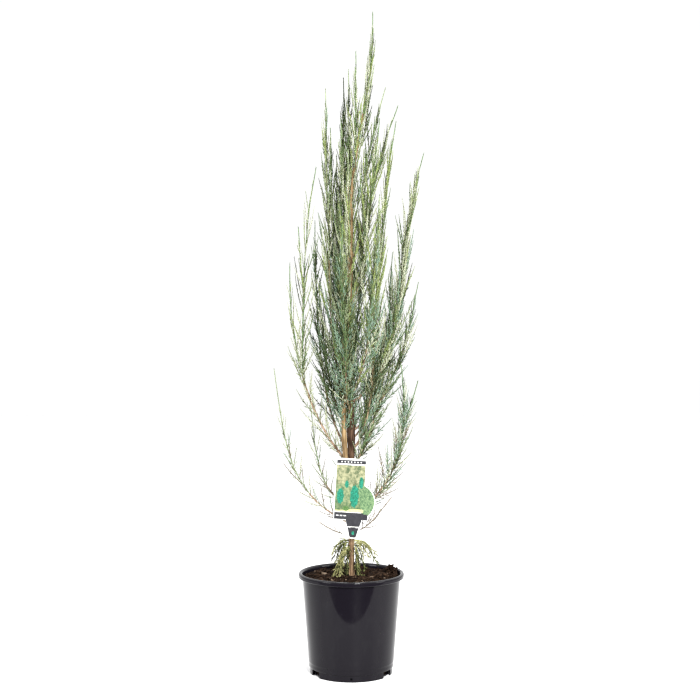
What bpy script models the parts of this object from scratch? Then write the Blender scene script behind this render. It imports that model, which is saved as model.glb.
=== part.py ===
"""Young columnar juniper in a black nursery pot.

Metres, +Z up. The origin is the centre of the pot's flat underside, and the
side seen in front is -Y. A limb's azimuth is 0 at +X, 90 at the back, 180 at
-X and 270 in front.
"""

import math
import random
from dataclasses import dataclass

import bmesh
import bpy
from mathutils import Matrix, Vector
from mathutils.kdtree import KDTree

GAP = 0.0003  # clearance between pieces that touch
UP = Vector((0, 0, 1))

# Pot
POT_HEIGHT = 0.190
RIM_RADIUS = 0.100
RIM_DROP = 0.0105
WALL_TOP_RADIUS = 0.0930
WALL_FOOT_RADIUS = 0.0802
WALL = 0.0018
SKIRT_HEIGHT = 0.012
SKIRT_RADIUS = 0.0780
DRUM_RADIUS = 0.0720
FLOOR = 0.0022
POT_STEPS = 40
SLOTS = 3
SLOT_FIRST_AZIMUTH = 90.0
SLOT_WIDTH = 0.0262
DRAIN_WIDTH = 0.017
DRAIN_HEIGHT = 0.0070
NOTCH = 0.0040

# Potting mix
MIX_TOP = 0.1840
MIX_EDGE_DROP = 0.0035
MIX_LEVEL_RADIUS = 0.020
MIX_ROUGHNESS = 0.0011
MIX_STEPS = 26
MIX_RINGS = 4

# Trunk
TRUNK_FOOT = MIX_TOP + GAP
TRUNK_TOP = 1.055
TRUNK_RADIUS = 0.0070
TRUNK_TIP_RADIUS = 0.0017
TRUNK_TAPER = 0.8
FLARE = 0.0030
FLARE_HEIGHT = 0.018
TRUNK_BOW = -0.006
TRUNK_BOW_HEIGHT = 0.62
TRUNK_BOW_SPREAD = 0.11
TRUNK_LEAN = 0.039
LEAN_FROM = 0.88
LEAN_TO = 1.20
TRUNK_STEP = 0.030

# Limbs
COLLAR = 0.0045
LIMB_STEP = 0.050
STEM_TIP_RADIUS = 0.0009
END_WHIP = 0.046  # the last stretch of a stem, which is one spray

# Twigs and sprays
TWIG_PITCH = 0.062
FIRST_TWIG = 0.012
TWIG_ANGLE_LOW = 32.0
TWIG_ANGLE_HIGH = 14.0
UPTURN = 0.35  # how far twigs and sprays turn towards the vertical
TWIG_LENGTH = 0.072  # the longest, about a third of the way up a long stem
TWIG_SHARE = 0.26  # of its stem's length, on a short one
TWIG_FULL_FROM = 0.55
TWIG_FULL_GAIN = 1.8
TWIG_TAPER = 0.72
WHIP_SHARE = 1.35  # room that a twig with its tip spray needs, in twig lengths
TWIG_LEAST = 0.016
TWIG_RADIUS = 0.0012
SPRAY_LENGTH = 0.074
SPRAY_LEAST = 0.020
SPRAY_HALF_WIDTH = 0.0032
SPRAY_WIDEST_AT = 0.30
SPRAY_ANGLE = 13.0
SPRAYS_ON_TWIG = 2
GOLDEN_ANGLE = 137.508
TRIES = 5
CLEAR = 0.0006
SAMPLE = 0.003
CROWN_FOOT = 0.215

# Plant label and its strap
LABEL_WIDTH = 0.058
LABEL_HEIGHT = 0.117
LABEL_CORNER = 0.007
LOBE_X = 0.0135  # centre of the round lobe, across from the card's middle
LOBE_DROP = 0.0815  # and below its top edge
LOBE_RADIUS = 0.0355
LOBE_FIRST_ANGLE = -68.0
LOBE_STEPS = 14
TONGUE_X = 0.0100  # the tongue hangs this far to the right of the card's middle
NECK_WIDTH = 0.030
NECK_LENGTH = 0.011
TONGUE_WIDTH = 0.0234
TONGUE_TIP_WIDTH = 0.015
TONGUE_LENGTH = 0.034
LABEL_THICKNESS = 0.0007
LABEL_TOP = 0.408
LABEL_CENTRE_X = 0.001
LABEL_FRONT = -0.0192
LABEL_TILT = 3.4
LABEL_ROOM = 0.005  # foliage keeps this far from the card
STRAP_HEIGHT = 0.006
STRAP_THICKNESS = 0.0012
STRAP_Z = 0.348
STRAP_STEPS = 18
STRAP_PAD_WIDTH = 0.010

# Dry sprigs that hang at the trunk's foot
DRY_STEM_RADIUS = 0.0012
DRY_STEPS = 5
DRY_SPRAYS = 6
DRY_SPRAY_LENGTH = 0.034
DRY_SPRAY_HALF_WIDTH = 0.0020
DRY_CLEAR = 0.0020


@dataclass
class Fork:
    """A second leader that leaves a mass's stem at height foot and ends at height top."""

    foot: float
    azimuth: float
    top: float
    bulge: float = 0.0
    rise: float = 0.05
    lean: float = 0.0
    flick: float = 0.0
    stem: int = 0  # 0 is the mass's main stem, 1 its first fork


@dataclass
class Limb:
    """A bough and the mass on it.

    It runs out from the trunk by bulge, which it nears as it climbs by rise
    after rise, leans on by lean for each metre of height, and flicks out by
    flick towards its tip.
    """

    name: str
    foot: float  # height on the trunk
    azimuth: float
    top: float  # height of its tip
    bulge: float
    rise: float
    lean: float = 0.0
    flick: float = 0.0
    bare: float = 0.0  # length of bough with no foliage, a node of its own
    radius: float = 0.0020
    spread: float = 1.0  # scales the twigs' angle and length
    forks: tuple = ()


LIMBS = (
    Limb("low_left", 0.287, 183, 0.579, 0.103, 0.056, 0.11, bare=0.085, radius=0.0022),
    Limb("low_left_inner", 0.318, 158, 0.513, 0.049, 0.028, 0.13, bare=0.050, radius=0.0020),
    Limb(
        "left_main", 0.403, 187, 0.777, 0.197, 0.200, -0.165, bare=0.135, radius=0.0030,
        forks=(
            Fork(0.560, 187, 0.957, flick=-0.026),
            Fork(0.700, 187, 0.844, lean=0.07, stem=1),
        ),
    ),
    Limb("left_inner", 0.498, 190, 1.102, 0.030, 0.120, 0.012, radius=0.0030),
    Limb("second_stem", 0.372, 225, 1.045, 0.005, 0.020, 0.018, bare=0.145, radius=0.0044),
    Limb("right_whip", 0.430, 340, 1.038, 0.030, 0.050, 0.03, 0.030, bare=0.050, radius=0.0030),
    Limb("right_upper", 0.790, 12, 1.076, 0.002, 0.010, 0.25, 0.010, radius=0.0022),
    Limb("right_main", 0.515, 2, 0.985, 0.088, 0.075, 0.0, 0.042, bare=0.070, radius=0.0032),
    Limb("right_outer", 0.462, 12, 0.741, 0.100, 0.090, 0.05, 0.012, bare=0.080, radius=0.0026),
    Limb(
        "low_right", 0.304, 1, 0.590, 0.146, 0.095, -0.20, bare=0.105, radius=0.0028,
        forks=(Fork(0.452, 345, 0.556, lean=0.30),),
    ),
    Limb("right_small", 0.390, 322, 0.500, 0.0, 0.05, 0.36, 0.024, bare=0.035, radius=0.0018),
    Limb("right_low_inner", 0.448, 28, 0.690, 0.042, 0.060, 0.10, bare=0.025, radius=0.0022),
    Limb("left_low_inner", 0.470, 160, 0.740, 0.040, 0.070, 0.06, radius=0.0022),
    Limb("front_left", 0.500, 260, 0.850, 0.066, 0.075, 0.03, radius=0.0024),
    Limb("front_right", 0.530, 303, 0.900, 0.066, 0.080, 0.04, 0.010, radius=0.0024),
    Limb("back_left", 0.420, 132, 0.860, 0.086, 0.090, 0.02, bare=0.090, radius=0.0030),
    Limb("back", 0.450, 90, 0.920, 0.086, 0.080, 0.02, 0.015, bare=0.080, radius=0.0030),
    Limb("back_right", 0.395, 50, 0.800, 0.094, 0.090, 0.03, 0.010, bare=0.100, radius=0.0030),
    Limb("low_back", 0.300, 98, 0.600, 0.104, 0.065, 0.05, bare=0.095, radius=0.0024),
    Limb("upper_1", 0.560, 118, 0.985, 0.032, 0.080, 0.02, radius=0.0022),
    Limb("upper_2", 0.590, 60, 1.000, 0.036, 0.080, 0.03, 0.010, radius=0.0022),
    Limb("upper_3", 0.625, 270, 0.985, 0.030, 0.070, 0.02, radius=0.0022),
    Limb("upper_4", 0.660, 172, 1.030, 0.018, 0.070, 0.02, radius=0.0020),
    Limb("upper_5", 0.700, 322, 1.043, 0.030, 0.070, 0.06, 0.012, radius=0.0020),
    Limb("upper_6", 0.760, 95, 1.075, 0.026, 0.060, 0.03, radius=0.0019),
    Limb("upper_7", 0.850, 205, 1.124, 0.007, 0.040, 0.004, radius=0.0018),
    Limb("upper_8", 0.870, 348, 1.103, 0.006, 0.020, 0.18, 0.010, radius=0.0018),
    Limb("upper_9", 0.930, 112, 1.142, 0.010, 0.030, 0.02, radius=0.0016),
    Limb("upper_10", 0.985, 22, 1.150, 0.004, 0.010, 0.15, radius=0.0014),
    Limb("upper_11", 0.960, 276, 1.170, 0.008, 0.030, 0.02, radius=0.0015),
    Limb("low_twig_right", 0.268, 356, 0.335, 0.016, 0.010, 0.75, radius=0.0014),
    Limb("low_twig_left", 0.262, 196, 0.290, 0.022, 0.010, 1.2, radius=0.0013),
)

LEADER = Limb("leader_tip", TRUNK_TOP, 0, 1.247, 0.019, 0.070, radius=0.0017, spread=0.8)

DRY_SPRIGS = (
    # name, foot height, azimuth, reach, drop
    ("dry_sprig_left", 0.252, 186, 0.025, 0.046),
    ("dry_sprig_front_left", 0.238, 226, 0.033, 0.047),
    ("dry_sprig_right", 0.251, 350, 0.038, 0.050),
    ("dry_sprig_back", 0.240, 62, 0.022, 0.042),
)


class Path:
    """A polyline with a radius at each point, read by arc length."""

    def __init__(self, points, radii):
        self.points = [Vector(p) for p in points]
        self.radii = list(radii)
        self.marks = [0.0]
        for a, b in zip(self.points, self.points[1:]):
            self.marks.append(self.marks[-1] + (b - a).length)

    @property
    def length(self):
        return self.marks[-1]

    def _segment(self, s):
        s = min(max(s, 0.0), self.length)
        i = max(i for i in range(len(self.marks) - 1) if self.marks[i] <= s or i == 0)
        return i, (s - self.marks[i]) / (self.marks[i + 1] - self.marks[i])

    def at(self, s):
        i, u = self._segment(s)
        return self.points[i].lerp(self.points[i + 1], u)

    def radius(self, s):
        i, u = self._segment(s)
        return self.radii[i] * (1 - u) + self.radii[i + 1] * u

    def tangent(self, s):
        i, _ = self._segment(s)
        return (self.points[i + 1] - self.points[i]).normalized()

    def part(self, low, high):
        """The stretch from arc length low to high, as a Path."""
        inner = [i for i, m in enumerate(self.marks) if low + 1e-4 < m < high - 1e-4]
        points = [self.at(low), *(self.points[i] for i in inner), self.at(high)]
        radii = [self.radius(low), *(self.radii[i] for i in inner), self.radius(high)]
        return Path(points, radii)

    def length_at_height(self, z):
        """The arc length at which the path first reaches height z."""
        i = next(i for i in range(1, len(self.points)) if self.points[i].z >= z)
        low, high = self.points[i - 1], self.points[i]
        return self.marks[i - 1] + (z - low.z) / (high.z - low.z) * (high - low).length

    def samples(self, step=SAMPLE):
        count = max(2, math.ceil(self.length / step))
        return [self.at(self.length * i / count) for i in range(count + 1)]


def smoothstep(value):
    value = min(max(value, 0.0), 1.0)
    return value * value * (3 - 2 * value)


def heading(azimuth, from_vertical):
    """Unit vector at an azimuth and an angle from the vertical, both in degrees."""
    a, v = math.radians(azimuth), math.radians(from_vertical)
    return Vector((math.cos(a) * math.sin(v), math.sin(a) * math.sin(v), math.cos(v)))


def trunk_path():
    """The trunk's axis from its flat cut to its tip, with its bow, lean and flare."""
    steps = round((TRUNK_TOP - TRUNK_FOOT) / TRUNK_STEP)
    heights = [TRUNK_FOOT + (TRUNK_TOP - TRUNK_FOOT) * i / steps for i in range(steps + 1)]
    heights[1:1] = [TRUNK_FOOT + FLARE_HEIGHT * share for share in (0.25, 0.6)]
    points, radii = [], []
    for z in heights:
        bow = TRUNK_BOW * math.exp(-(((z - TRUNK_BOW_HEIGHT) / TRUNK_BOW_SPREAD) ** 2))
        lean = TRUNK_LEAN * smoothstep((z - LEAN_FROM) / (LEAN_TO - LEAN_FROM))
        share = (z - TRUNK_FOOT) / (TRUNK_TOP - TRUNK_FOOT)
        taper = (TRUNK_RADIUS - TRUNK_TIP_RADIUS) * (1 - share) ** TRUNK_TAPER
        flare = FLARE * math.exp(-3 * (z - TRUNK_FOOT) / FLARE_HEIGHT)
        points.append((bow + lean, 0.0, z))
        radii.append(TRUNK_TIP_RADIUS + taper + flare)
    # the cut lies flat, so the first stretch stands upright
    points[1] = (points[0][0], 0.0, points[1][2])
    return Path(points, radii)


TRUNK = trunk_path()


def rising_line(start, azimuth, shape):
    """Points of a limb or fork of that shape, about LIMB_STEP apart, from its start."""
    height = shape.top - start.z
    fine = 80
    points = []
    for i in range(fine + 1):
        climb = height * (i / fine) ** 1.6
        out = shape.bulge * (1 - math.exp(-climb / shape.rise)) + shape.lean * climb
        out += shape.flick * (climb / height) ** 3
        points.append(start + heading(azimuth, 90) * out + Vector((0, 0, climb)))
    smooth = Path(points, [0] * len(points))
    count = max(3, round(smooth.length / LIMB_STEP))
    return [smooth.at(smooth.length * i / count) for i in range(count + 1)]


def tapered(points, root):
    """A Path along the points that tapers from root to STEM_TIP_RADIUS."""
    last = len(points) - 1
    return Path(
        points, [root + (STEM_TIP_RADIUS - root) * (i / last) ** 0.8 for i in range(last + 1)]
    )


def limb_path(limb):
    """The whole limb from its seat on the trunk, GAP clear of the bark."""
    s = limb.foot - TRUNK_FOOT
    axis, along = TRUNK.at(s), TRUNK.tangent(s)
    outward = heading(limb.azimuth, 90)
    outward = (outward - along * outward.dot(along)).normalized()
    seat = axis + outward * (TRUNK.radius(s) + GAP)
    elbow = seat + outward * COLLAR
    return tapered([seat, *rising_line(elbow, limb.azimuth, limb)], limb.radius)


def leader_path():
    """The leader's green tip, which goes on from the trunk's own top."""
    s = TRUNK.length
    start = TRUNK.at(s) + TRUNK.tangent(s) * GAP
    return tapered(rising_line(start, LEADER.azimuth, LEADER), LEADER.radius)


def fork_path(stem, fork):
    """A second leader, rooted on the axis of the stem that it leaves."""
    at = stem.length_at_height(fork.foot)
    return tapered(rising_line(stem.at(at), fork.azimuth, fork), 0.8 * stem.radius(at))


def mass_stems(limb, whole):
    """The stems of a limb's mass: its own past the bare bough, then its forks."""
    stems = [whole.part(limb.bare + GAP if limb.bare else 0.0, whole.length)]
    for fork in limb.forks:
        stems.append(fork_path(stems[fork.stem], fork))
    return stems


def clear_scene():
    for obj in list(bpy.data.objects):
        bpy.data.objects.remove(obj, do_unlink=True)


def collection(name):
    made = bpy.data.collections.new(name)
    bpy.context.scene.collection.children.link(made)
    return made


def material(name, colour, roughness):
    made = bpy.data.materials.new(name)
    made.use_nodes = True
    shader = made.node_tree.nodes["Principled BSDF"]
    shader.inputs["Base Color"].default_value = (*colour, 1)
    shader.inputs["Roughness"].default_value = roughness
    shader.inputs["Metallic"].default_value = 0.0
    return made


def add_mesh_object(name, mesh, home, finish=None):
    obj = bpy.data.objects.new(name, mesh)
    home.objects.link(obj)
    if finish:
        mesh.materials.append(finish)
    return obj


def tube_object(name, path, home, resolution):
    """A tapered tube with flat ends, as a curve with a bevel."""
    curve = bpy.data.curves.new(name, "CURVE")
    curve.dimensions = "3D"
    curve.bevel_depth = 1.0
    curve.bevel_resolution = resolution
    curve.use_fill_caps = True
    spline = curve.splines.new("POLY")
    spline.points.add(len(path.points) - 1)
    for point, place, radius in zip(spline.points, path.points, path.radii):
        point.co = (*place, 1)
        point.radius = radius
    obj = bpy.data.objects.new(name, curve)
    home.objects.link(obj)
    return obj


def as_mesh_object(obj, finish=None):
    """The curve object made a mesh of the same name, its caps welded."""
    name, home = obj.name, obj.users_collection[0]
    graph = bpy.context.evaluated_depsgraph_get()
    mesh = bpy.data.meshes.new_from_object(obj.evaluated_get(graph))
    bm = bmesh.new()
    bm.from_mesh(mesh)
    bmesh.ops.remove_doubles(bm, verts=bm.verts, dist=0.000005)
    bmesh.ops.recalc_face_normals(bm, faces=bm.faces)
    bm.to_mesh(mesh)
    bm.free()
    place = obj.matrix_world.copy()
    bpy.data.objects.remove(obj)
    made = add_mesh_object(name, mesh, home, finish)
    made.matrix_world = place
    return made


def aligned(start, direction):
    """Matrix that takes +Z to direction and the origin to start."""
    return Matrix.Translation(start) @ direction.to_track_quat("Z", "Y").to_matrix().to_4x4()


def twig_object(name, start, direction, length, root, home):
    """A three-sided twig that tapers to half its root."""
    mesh = bpy.data.meshes.new(name)
    bm = bmesh.new()
    place = aligned(start, direction) @ Matrix.Translation((0, 0, length / 2))
    bmesh.ops.create_cone(
        bm, cap_ends=True, segments=3, radius1=root, radius2=root / 2, depth=length, matrix=place
    )
    bm.to_mesh(mesh)
    bm.free()
    return add_mesh_object(name, mesh, home)


def spray_object(name, start, direction, length, half_width, home):
    """A spray of scale leaves as an eight-faced spindle, widest near its root."""
    mesh = bpy.data.meshes.new(name)
    bm = bmesh.new()
    bmesh.ops.create_uvsphere(bm, u_segments=4, v_segments=2, radius=1)
    for vertex in bm.verts:
        side = math.hypot(vertex.co.x, vertex.co.y)
        vertex.co.x *= half_width
        vertex.co.y *= half_width
        if side > 0.5:
            vertex.co.z = SPRAY_WIDEST_AT * length
        else:
            vertex.co.z = length if vertex.co.z > 0 else 0.0
    bm.transform(aligned(start, direction))
    bm.to_mesh(mesh)
    bm.free()
    return add_mesh_object(name, mesh, home)


class Space:
    """The room that a mass keeps to: nearer to its own stems than to any other's."""

    def __init__(self, own, others, limbs, keep_out=()):
        self.own = self._tree([p for path in own for p in path.samples()])
        self.other = self._tree([p for path in others for p in path.samples()])
        self.limbs = [(path, path.samples()) for path in limbs]
        thick = [
            (point, path.radius(path.length * i / (len(points) - 1)))
            for path, points in self.limbs
            for i, point in enumerate(points)
        ]
        self.limb_radii = [radius for _, radius in thick]
        self.limb = self._tree([point for point, _ in thick])
        self.keep_out = keep_out

    @staticmethod
    def _tree(points):
        tree = KDTree(max(1, len(points)))
        for i, point in enumerate(points):
            tree.insert(point, i)
        tree.balance()
        return tree

    def holds(self, start, end, half_width, skip=0.0):
        """True if a stick from start to end, of that half width, stays inside."""
        count = max(2, math.ceil((end - start).length / SAMPLE))
        for i in range(count + 1):
            point = start.lerp(end, i / count)
            if (point - start).length < skip:
                continue
            if point.z - half_width < CROWN_FOOT:
                return False
            if any(low.x < point.x < high.x and low.y < point.y < high.y
                   and low.z < point.z < high.z for low, high in self.keep_out):
                return False
            own = self.own.find(point)[2]
            other = self.other.find(point)[2]
            if other - own < 2 * (half_width + CLEAR):
                return False
            _, index, away = self.limb.find(point)
            if away < self.limb_radii[index] + half_width + CLEAR:
                return False
        return True


def turned_from(axis, angle, roll):
    """A unit vector at angle degrees from axis, rolled round it, then turned upwards."""
    side = axis.cross(UP)
    side = side.normalized() if side.length > 1e-3 else Vector((1, 0, 0))
    side.rotate(Matrix.Rotation(math.radians(roll), 3, axis))
    way = axis * math.cos(math.radians(angle)) + side * math.sin(math.radians(angle))
    return (way + UP * UPTURN).normalized()


def grow_sprays(name, start, direction, length, root, space, rng, home):
    """Sprays on one twig: one that goes on from its tip, and others up its sides."""
    spray = SPRAY_LENGTH * (0.6 + 0.4 * length / TWIG_LENGTH)
    for k in range(SPRAYS_ON_TWIG):
        tip = k == 0
        at = length * (0.90 if tip else 0.15 + 0.55 * (k - 1) / (SPRAYS_ON_TWIG - 1))
        foot = start + direction * at
        reach = spray * (1.0 if tip else rng.uniform(0.75, 0.95))
        angle = 3.0 if tip else SPRAY_ANGLE * rng.uniform(0.8, 1.2)
        roll = rng.uniform(0, 360)
        for _ in range(TRIES):
            way = turned_from(direction, angle, roll)
            if space.holds(foot, foot + way * reach, SPRAY_HALF_WIDTH, skip=2.5 * root):
                spray_object(f"{name}_{k}", foot, way, reach, SPRAY_HALF_WIDTH, home)
                break
            reach, roll = reach * 0.85, roll + 73
            if reach < SPRAY_LEAST:
                break


def grow_twigs(name, stem, bare, spread, space, rng, home):
    """Twigs up one stem by the golden angle, each tried closer to it before it is skipped."""
    usable = stem.length - bare
    count = max(2, round(usable / TWIG_PITCH))
    longest = min(TWIG_LENGTH, TWIG_SHARE * usable) * spread
    roll = rng.uniform(0, 360)
    for k in range(count):
        share = (k + 0.5) / count
        s = bare + usable * share
        roll += GOLDEN_ANGLE
        fullness = min(1.0, TWIG_FULL_FROM + TWIG_FULL_GAIN * share) * (1 - TWIG_TAPER * share)
        length = longest * fullness * rng.uniform(0.85, 1.15)
        angle = (TWIG_ANGLE_LOW + (TWIG_ANGLE_HIGH - TWIG_ANGLE_LOW) * share) * spread
        root = min(TWIG_RADIUS, 0.72 * stem.radius(s))
        for _ in range(TRIES):
            way = turned_from(stem.tangent(s), angle, roll)
            start = stem.at(s)
            whip_end = start + way * length * WHIP_SHARE
            if space.holds(start, whip_end, SPRAY_HALF_WIDTH, skip=3 * root):
                twig_object(f"{name}_{k}", start, way, length, root, home)
                grow_sprays(f"{name}_{k}", start, way, length, root, space, rng, home)
                break
            angle, length, roll = angle * 0.8, length * 0.82, roll + 31
            if length < TWIG_LEAST:
                break


def fuse(base, pieces):
    """One Boolean union of base with every object of the collection pieces."""
    if pieces.objects:
        union = base.modifiers.new("fuse", "BOOLEAN")
        union.operation = "UNION"
        union.operand_type = "COLLECTION"
        union.collection = pieces
        union.solver = "MANIFOLD"
        graph = bpy.context.evaluated_depsgraph_get()
        mesh = bpy.data.meshes.new_from_object(base.evaluated_get(graph))
        base.modifiers.clear()
        base.data = mesh
    for piece in list(pieces.objects):
        bpy.data.objects.remove(piece)


def largest_piece(obj):
    """Drops any loose scrap that the union left beside the mass."""
    bm = bmesh.new()
    bm.from_mesh(obj.data)
    seen, groups = set(), []
    for vertex in bm.verts:
        if vertex in seen:
            continue
        group, front = {vertex}, [vertex]
        while front:
            for edge in front.pop().link_edges:
                for other in edge.verts:
                    if other not in group:
                        group.add(other)
                        front.append(other)
        seen |= group
        groups.append(group)
    groups.sort(key=len, reverse=True)
    bmesh.ops.delete(bm, geom=[v for g in groups[1:] for v in g], context="VERTS")
    bm.to_mesh(obj.data)
    bm.free()


def mass_object(name, stems, space, spread, finish, home, pieces):
    """A mass of foliage: its stems, twigs and sprays as one closed mesh."""
    rng = random.Random(name)
    base = None
    for number, stem in enumerate(stems):
        core = stem.part(0, stem.length - END_WHIP)
        place = pieces if number else home
        obj = as_mesh_object(
            tube_object(f"{name}_stem_{number}" if number else name, core, place, 0), finish
        )
        base = base or obj
        way = stem.points[-1] - core.points[-1]
        spray_object(
            f"{name}_tip_{number}", core.points[-1] - way * 0.12, way, way.length * 1.12,
            SPRAY_HALF_WIDTH * 0.85, pieces,
        )
        grow_twigs(f"{name}_{number}", core, FIRST_TWIG, spread, space, rng, pieces)
    fuse(base, pieces)
    largest_piece(base)
    return base


def pot_object(home, cutters, finish):
    """The pot as a turned profile, with its skirt cut into three feet."""
    ledge = SKIRT_HEIGHT
    wall_in_top = WALL_TOP_RADIUS + 0.0008 - WALL
    lip_in = RIM_RADIUS - WALL
    rim_under = POT_HEIGHT - RIM_DROP
    profile = (
        (0.0, FLOOR),
        (DRUM_RADIUS - WALL, FLOOR),
        (DRUM_RADIUS - WALL, ledge),
        (WALL_FOOT_RADIUS - WALL, ledge),
        (wall_in_top, POT_HEIGHT - 0.0050),
        (wall_in_top + 0.0014, POT_HEIGHT - 0.0012),
        (wall_in_top + 0.0038, POT_HEIGHT),
        (RIM_RADIUS - 0.0016, POT_HEIGHT - 0.0006),
        (RIM_RADIUS - 0.0002, POT_HEIGHT - 0.0024),
        (RIM_RADIUS, POT_HEIGHT - 0.0052),
        (RIM_RADIUS - 0.0003, rim_under),
        (lip_in - 0.0003, rim_under),
        (lip_in, POT_HEIGHT - 0.0050),
        (WALL_TOP_RADIUS + 0.0012, POT_HEIGHT - 0.0034),
        (WALL_TOP_RADIUS, POT_HEIGHT - 0.0072),
        (WALL_FOOT_RADIUS, ledge + 0.0012),
        (WALL_FOOT_RADIUS - 0.0008, ledge),
        (SKIRT_RADIUS, ledge - 0.0002),
        (SKIRT_RADIUS, 0.0),
        (SKIRT_RADIUS - WALL, 0.0),
        (SKIRT_RADIUS - WALL, ledge - WALL),
        (DRUM_RADIUS, ledge - WALL),
        (DRUM_RADIUS, 0.0),
        (0.0, 0.0),
    )
    obj = turned_object("pot", profile, POT_STEPS, home, finish)
    slot_depth = 0.016
    for k in range(SLOTS):
        slot = SLOT_FIRST_AZIMUTH + 360 * k / SLOTS
        middle = slot + 180 / SLOTS
        gap_low, gap_high = -0.004, ledge - 0.0004
        cutter_box(
            f"slot_{k}", slot, DRUM_RADIUS + 0.0012 + slot_depth / 2,
            (slot_depth, SLOT_WIDTH, gap_high - gap_low), (gap_low + gap_high) / 2, cutters,
        )
        cutter_box(
            f"drain_{k}", slot, DRUM_RADIUS - 0.001,
            (0.009, DRAIN_WIDTH, DRAIN_HEIGHT), FLOOR + 0.0008 + DRAIN_HEIGHT / 2, cutters,
        )
        cutter_box(
            f"notch_{k}", middle, SKIRT_RADIUS, (0.006, NOTCH, NOTCH), ledge / 2, cutters
        )
    cut = obj.modifiers.new("cut", "BOOLEAN")
    cut.operation = "DIFFERENCE"
    cut.operand_type = "COLLECTION"
    cut.collection = cutters
    cut.solver = "EXACT"
    return obj


def cutter_box(name, azimuth, radius, size, height, home):
    """A hidden box at a radius and azimuth, its first side along the radius."""
    mesh = bpy.data.meshes.new(name)
    bm = bmesh.new()
    bmesh.ops.create_cube(bm, size=1)
    bmesh.ops.scale(bm, vec=size, verts=bm.verts)
    bmesh.ops.translate(bm, vec=(radius, 0, height), verts=bm.verts)
    bmesh.ops.rotate(
        bm, cent=(0, 0, 0), matrix=Matrix.Rotation(math.radians(azimuth), 3, "Z"), verts=bm.verts
    )
    bm.to_mesh(mesh)
    bm.free()
    obj = add_mesh_object(name, mesh, home)
    obj.hide_render = True
    obj.display_type = "WIRE"
    return obj


def turned_object(name, profile, steps, home, finish):
    """A profile in the XZ plane turned round Z by a Screw modifier."""
    mesh = bpy.data.meshes.new(name)
    bm = bmesh.new()
    verts = [bm.verts.new((r, 0, z)) for r, z in profile]
    for a, b in zip(verts, verts[1:]):
        bm.edges.new((a, b))
    bm.to_mesh(mesh)
    bm.free()
    obj = add_mesh_object(name, mesh, home, finish)
    screw = obj.modifiers.new("turn", "SCREW")
    screw.steps = screw.render_steps = steps
    screw.use_merge_vertices = True
    screw.merge_threshold = 0.00001
    return obj


def mix_object(home, finish):
    """The potting mix that fills the pot, crumbled on top but level round the trunk."""
    rng = random.Random("mix")
    ledge = SKIRT_HEIGHT + GAP
    slope = (WALL_TOP_RADIUS + 0.0008 - WALL_FOOT_RADIUS) / (POT_HEIGHT - 0.0050 - SKIRT_HEIGHT)
    edge_z = MIX_TOP - MIX_EDGE_DROP

    def wall_radius(z):
        return WALL_FOOT_RADIUS - WALL - GAP + slope * (z - SKIRT_HEIGHT)

    top = [
        (
            MIX_LEVEL_RADIUS + (wall_radius(edge_z) - MIX_LEVEL_RADIUS) * k / MIX_RINGS,
            MIX_TOP - MIX_EDGE_DROP * (k / MIX_RINGS) ** 2,
        )
        for k in range(MIX_RINGS + 1)
    ]
    profile = [
        (0.0, MIX_TOP),
        *top,
        (wall_radius(ledge), ledge),
        (DRUM_RADIUS - WALL - GAP, ledge),
        (DRUM_RADIUS - WALL - GAP, FLOOR + GAP),
        (0.0, FLOOR + GAP),
    ]
    obj = turned_object("potting_mix", profile, MIX_STEPS, home, finish)
    obj = as_mesh_object(obj)
    for vertex in obj.data.vertices:
        radius = math.hypot(vertex.co.x, vertex.co.y)
        inside = MIX_LEVEL_RADIUS + 0.004 < radius < wall_radius(edge_z) - 0.002
        if inside and vertex.co.z > edge_z - 0.0001:
            vertex.co.z += MIX_ROUGHNESS * rng.uniform(-1, 1)
    return obj


def label_outline():
    """Corners of the card's outline: a round lobe at its lower right, a tongue below."""
    half, corner = LABEL_WIDTH / 2, LABEL_CORNER
    points = []
    for centre_x, centre_z, first in (
        (half - corner, -corner, 0),
        (-half + corner, -corner, 90),
        (-half + corner, -LABEL_HEIGHT + corner, 180),
    ):
        for k in range(5):
            a = math.radians(first + 90 * k / 4)
            points.append((centre_x + corner * math.cos(a), centre_z + corner * math.sin(a)))
    foot = -LABEL_HEIGHT
    tip = foot - TONGUE_LENGTH
    left_side = [
        (-NECK_WIDTH / 2, foot),
        (-TONGUE_WIDTH / 2, foot - NECK_LENGTH),
        (-TONGUE_TIP_WIDTH / 2, tip + 0.002),
        (-TONGUE_TIP_WIDTH / 2 + 0.002, tip),
    ]
    points += [(TONGUE_X + x, z) for x, z in left_side]
    points += [(TONGUE_X - x, z) for x, z in reversed(left_side)]
    last_angle = math.degrees(math.acos((half - LOBE_X) / LOBE_RADIUS))
    for k in range(LOBE_STEPS + 1):
        a = math.radians(LOBE_FIRST_ANGLE + (last_angle - LOBE_FIRST_ANGLE) * k / LOBE_STEPS)
        points.append((LOBE_X + LOBE_RADIUS * math.cos(a), -LOBE_DROP + LOBE_RADIUS * math.sin(a)))
    return points


def label_object(home, finish):
    """The plant label: a flat plastic card in front of the trunk."""
    curve = bpy.data.curves.new("plant_label", "CURVE")
    curve.dimensions = "2D"
    curve.fill_mode = "BOTH"
    curve.extrude = LABEL_THICKNESS / 2
    outline = label_outline()
    spline = curve.splines.new("POLY")
    spline.points.add(len(outline) - 1)
    for point, (x, z) in zip(spline.points, outline):
        point.co = (x, z, 0, 1)
    spline.use_cyclic_u = True
    obj = bpy.data.objects.new("plant_label", curve)
    home.objects.link(obj)
    upright = Matrix.Rotation(math.radians(90), 4, "X")
    lean = Matrix.Rotation(math.radians(LABEL_TILT), 4, "Y")
    obj.matrix_world = Matrix.Translation((LABEL_CENTRE_X, LABEL_FRONT, LABEL_TOP)) @ lean @ upright
    bpy.context.view_layer.update()
    return as_mesh_object(obj, finish)


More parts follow.
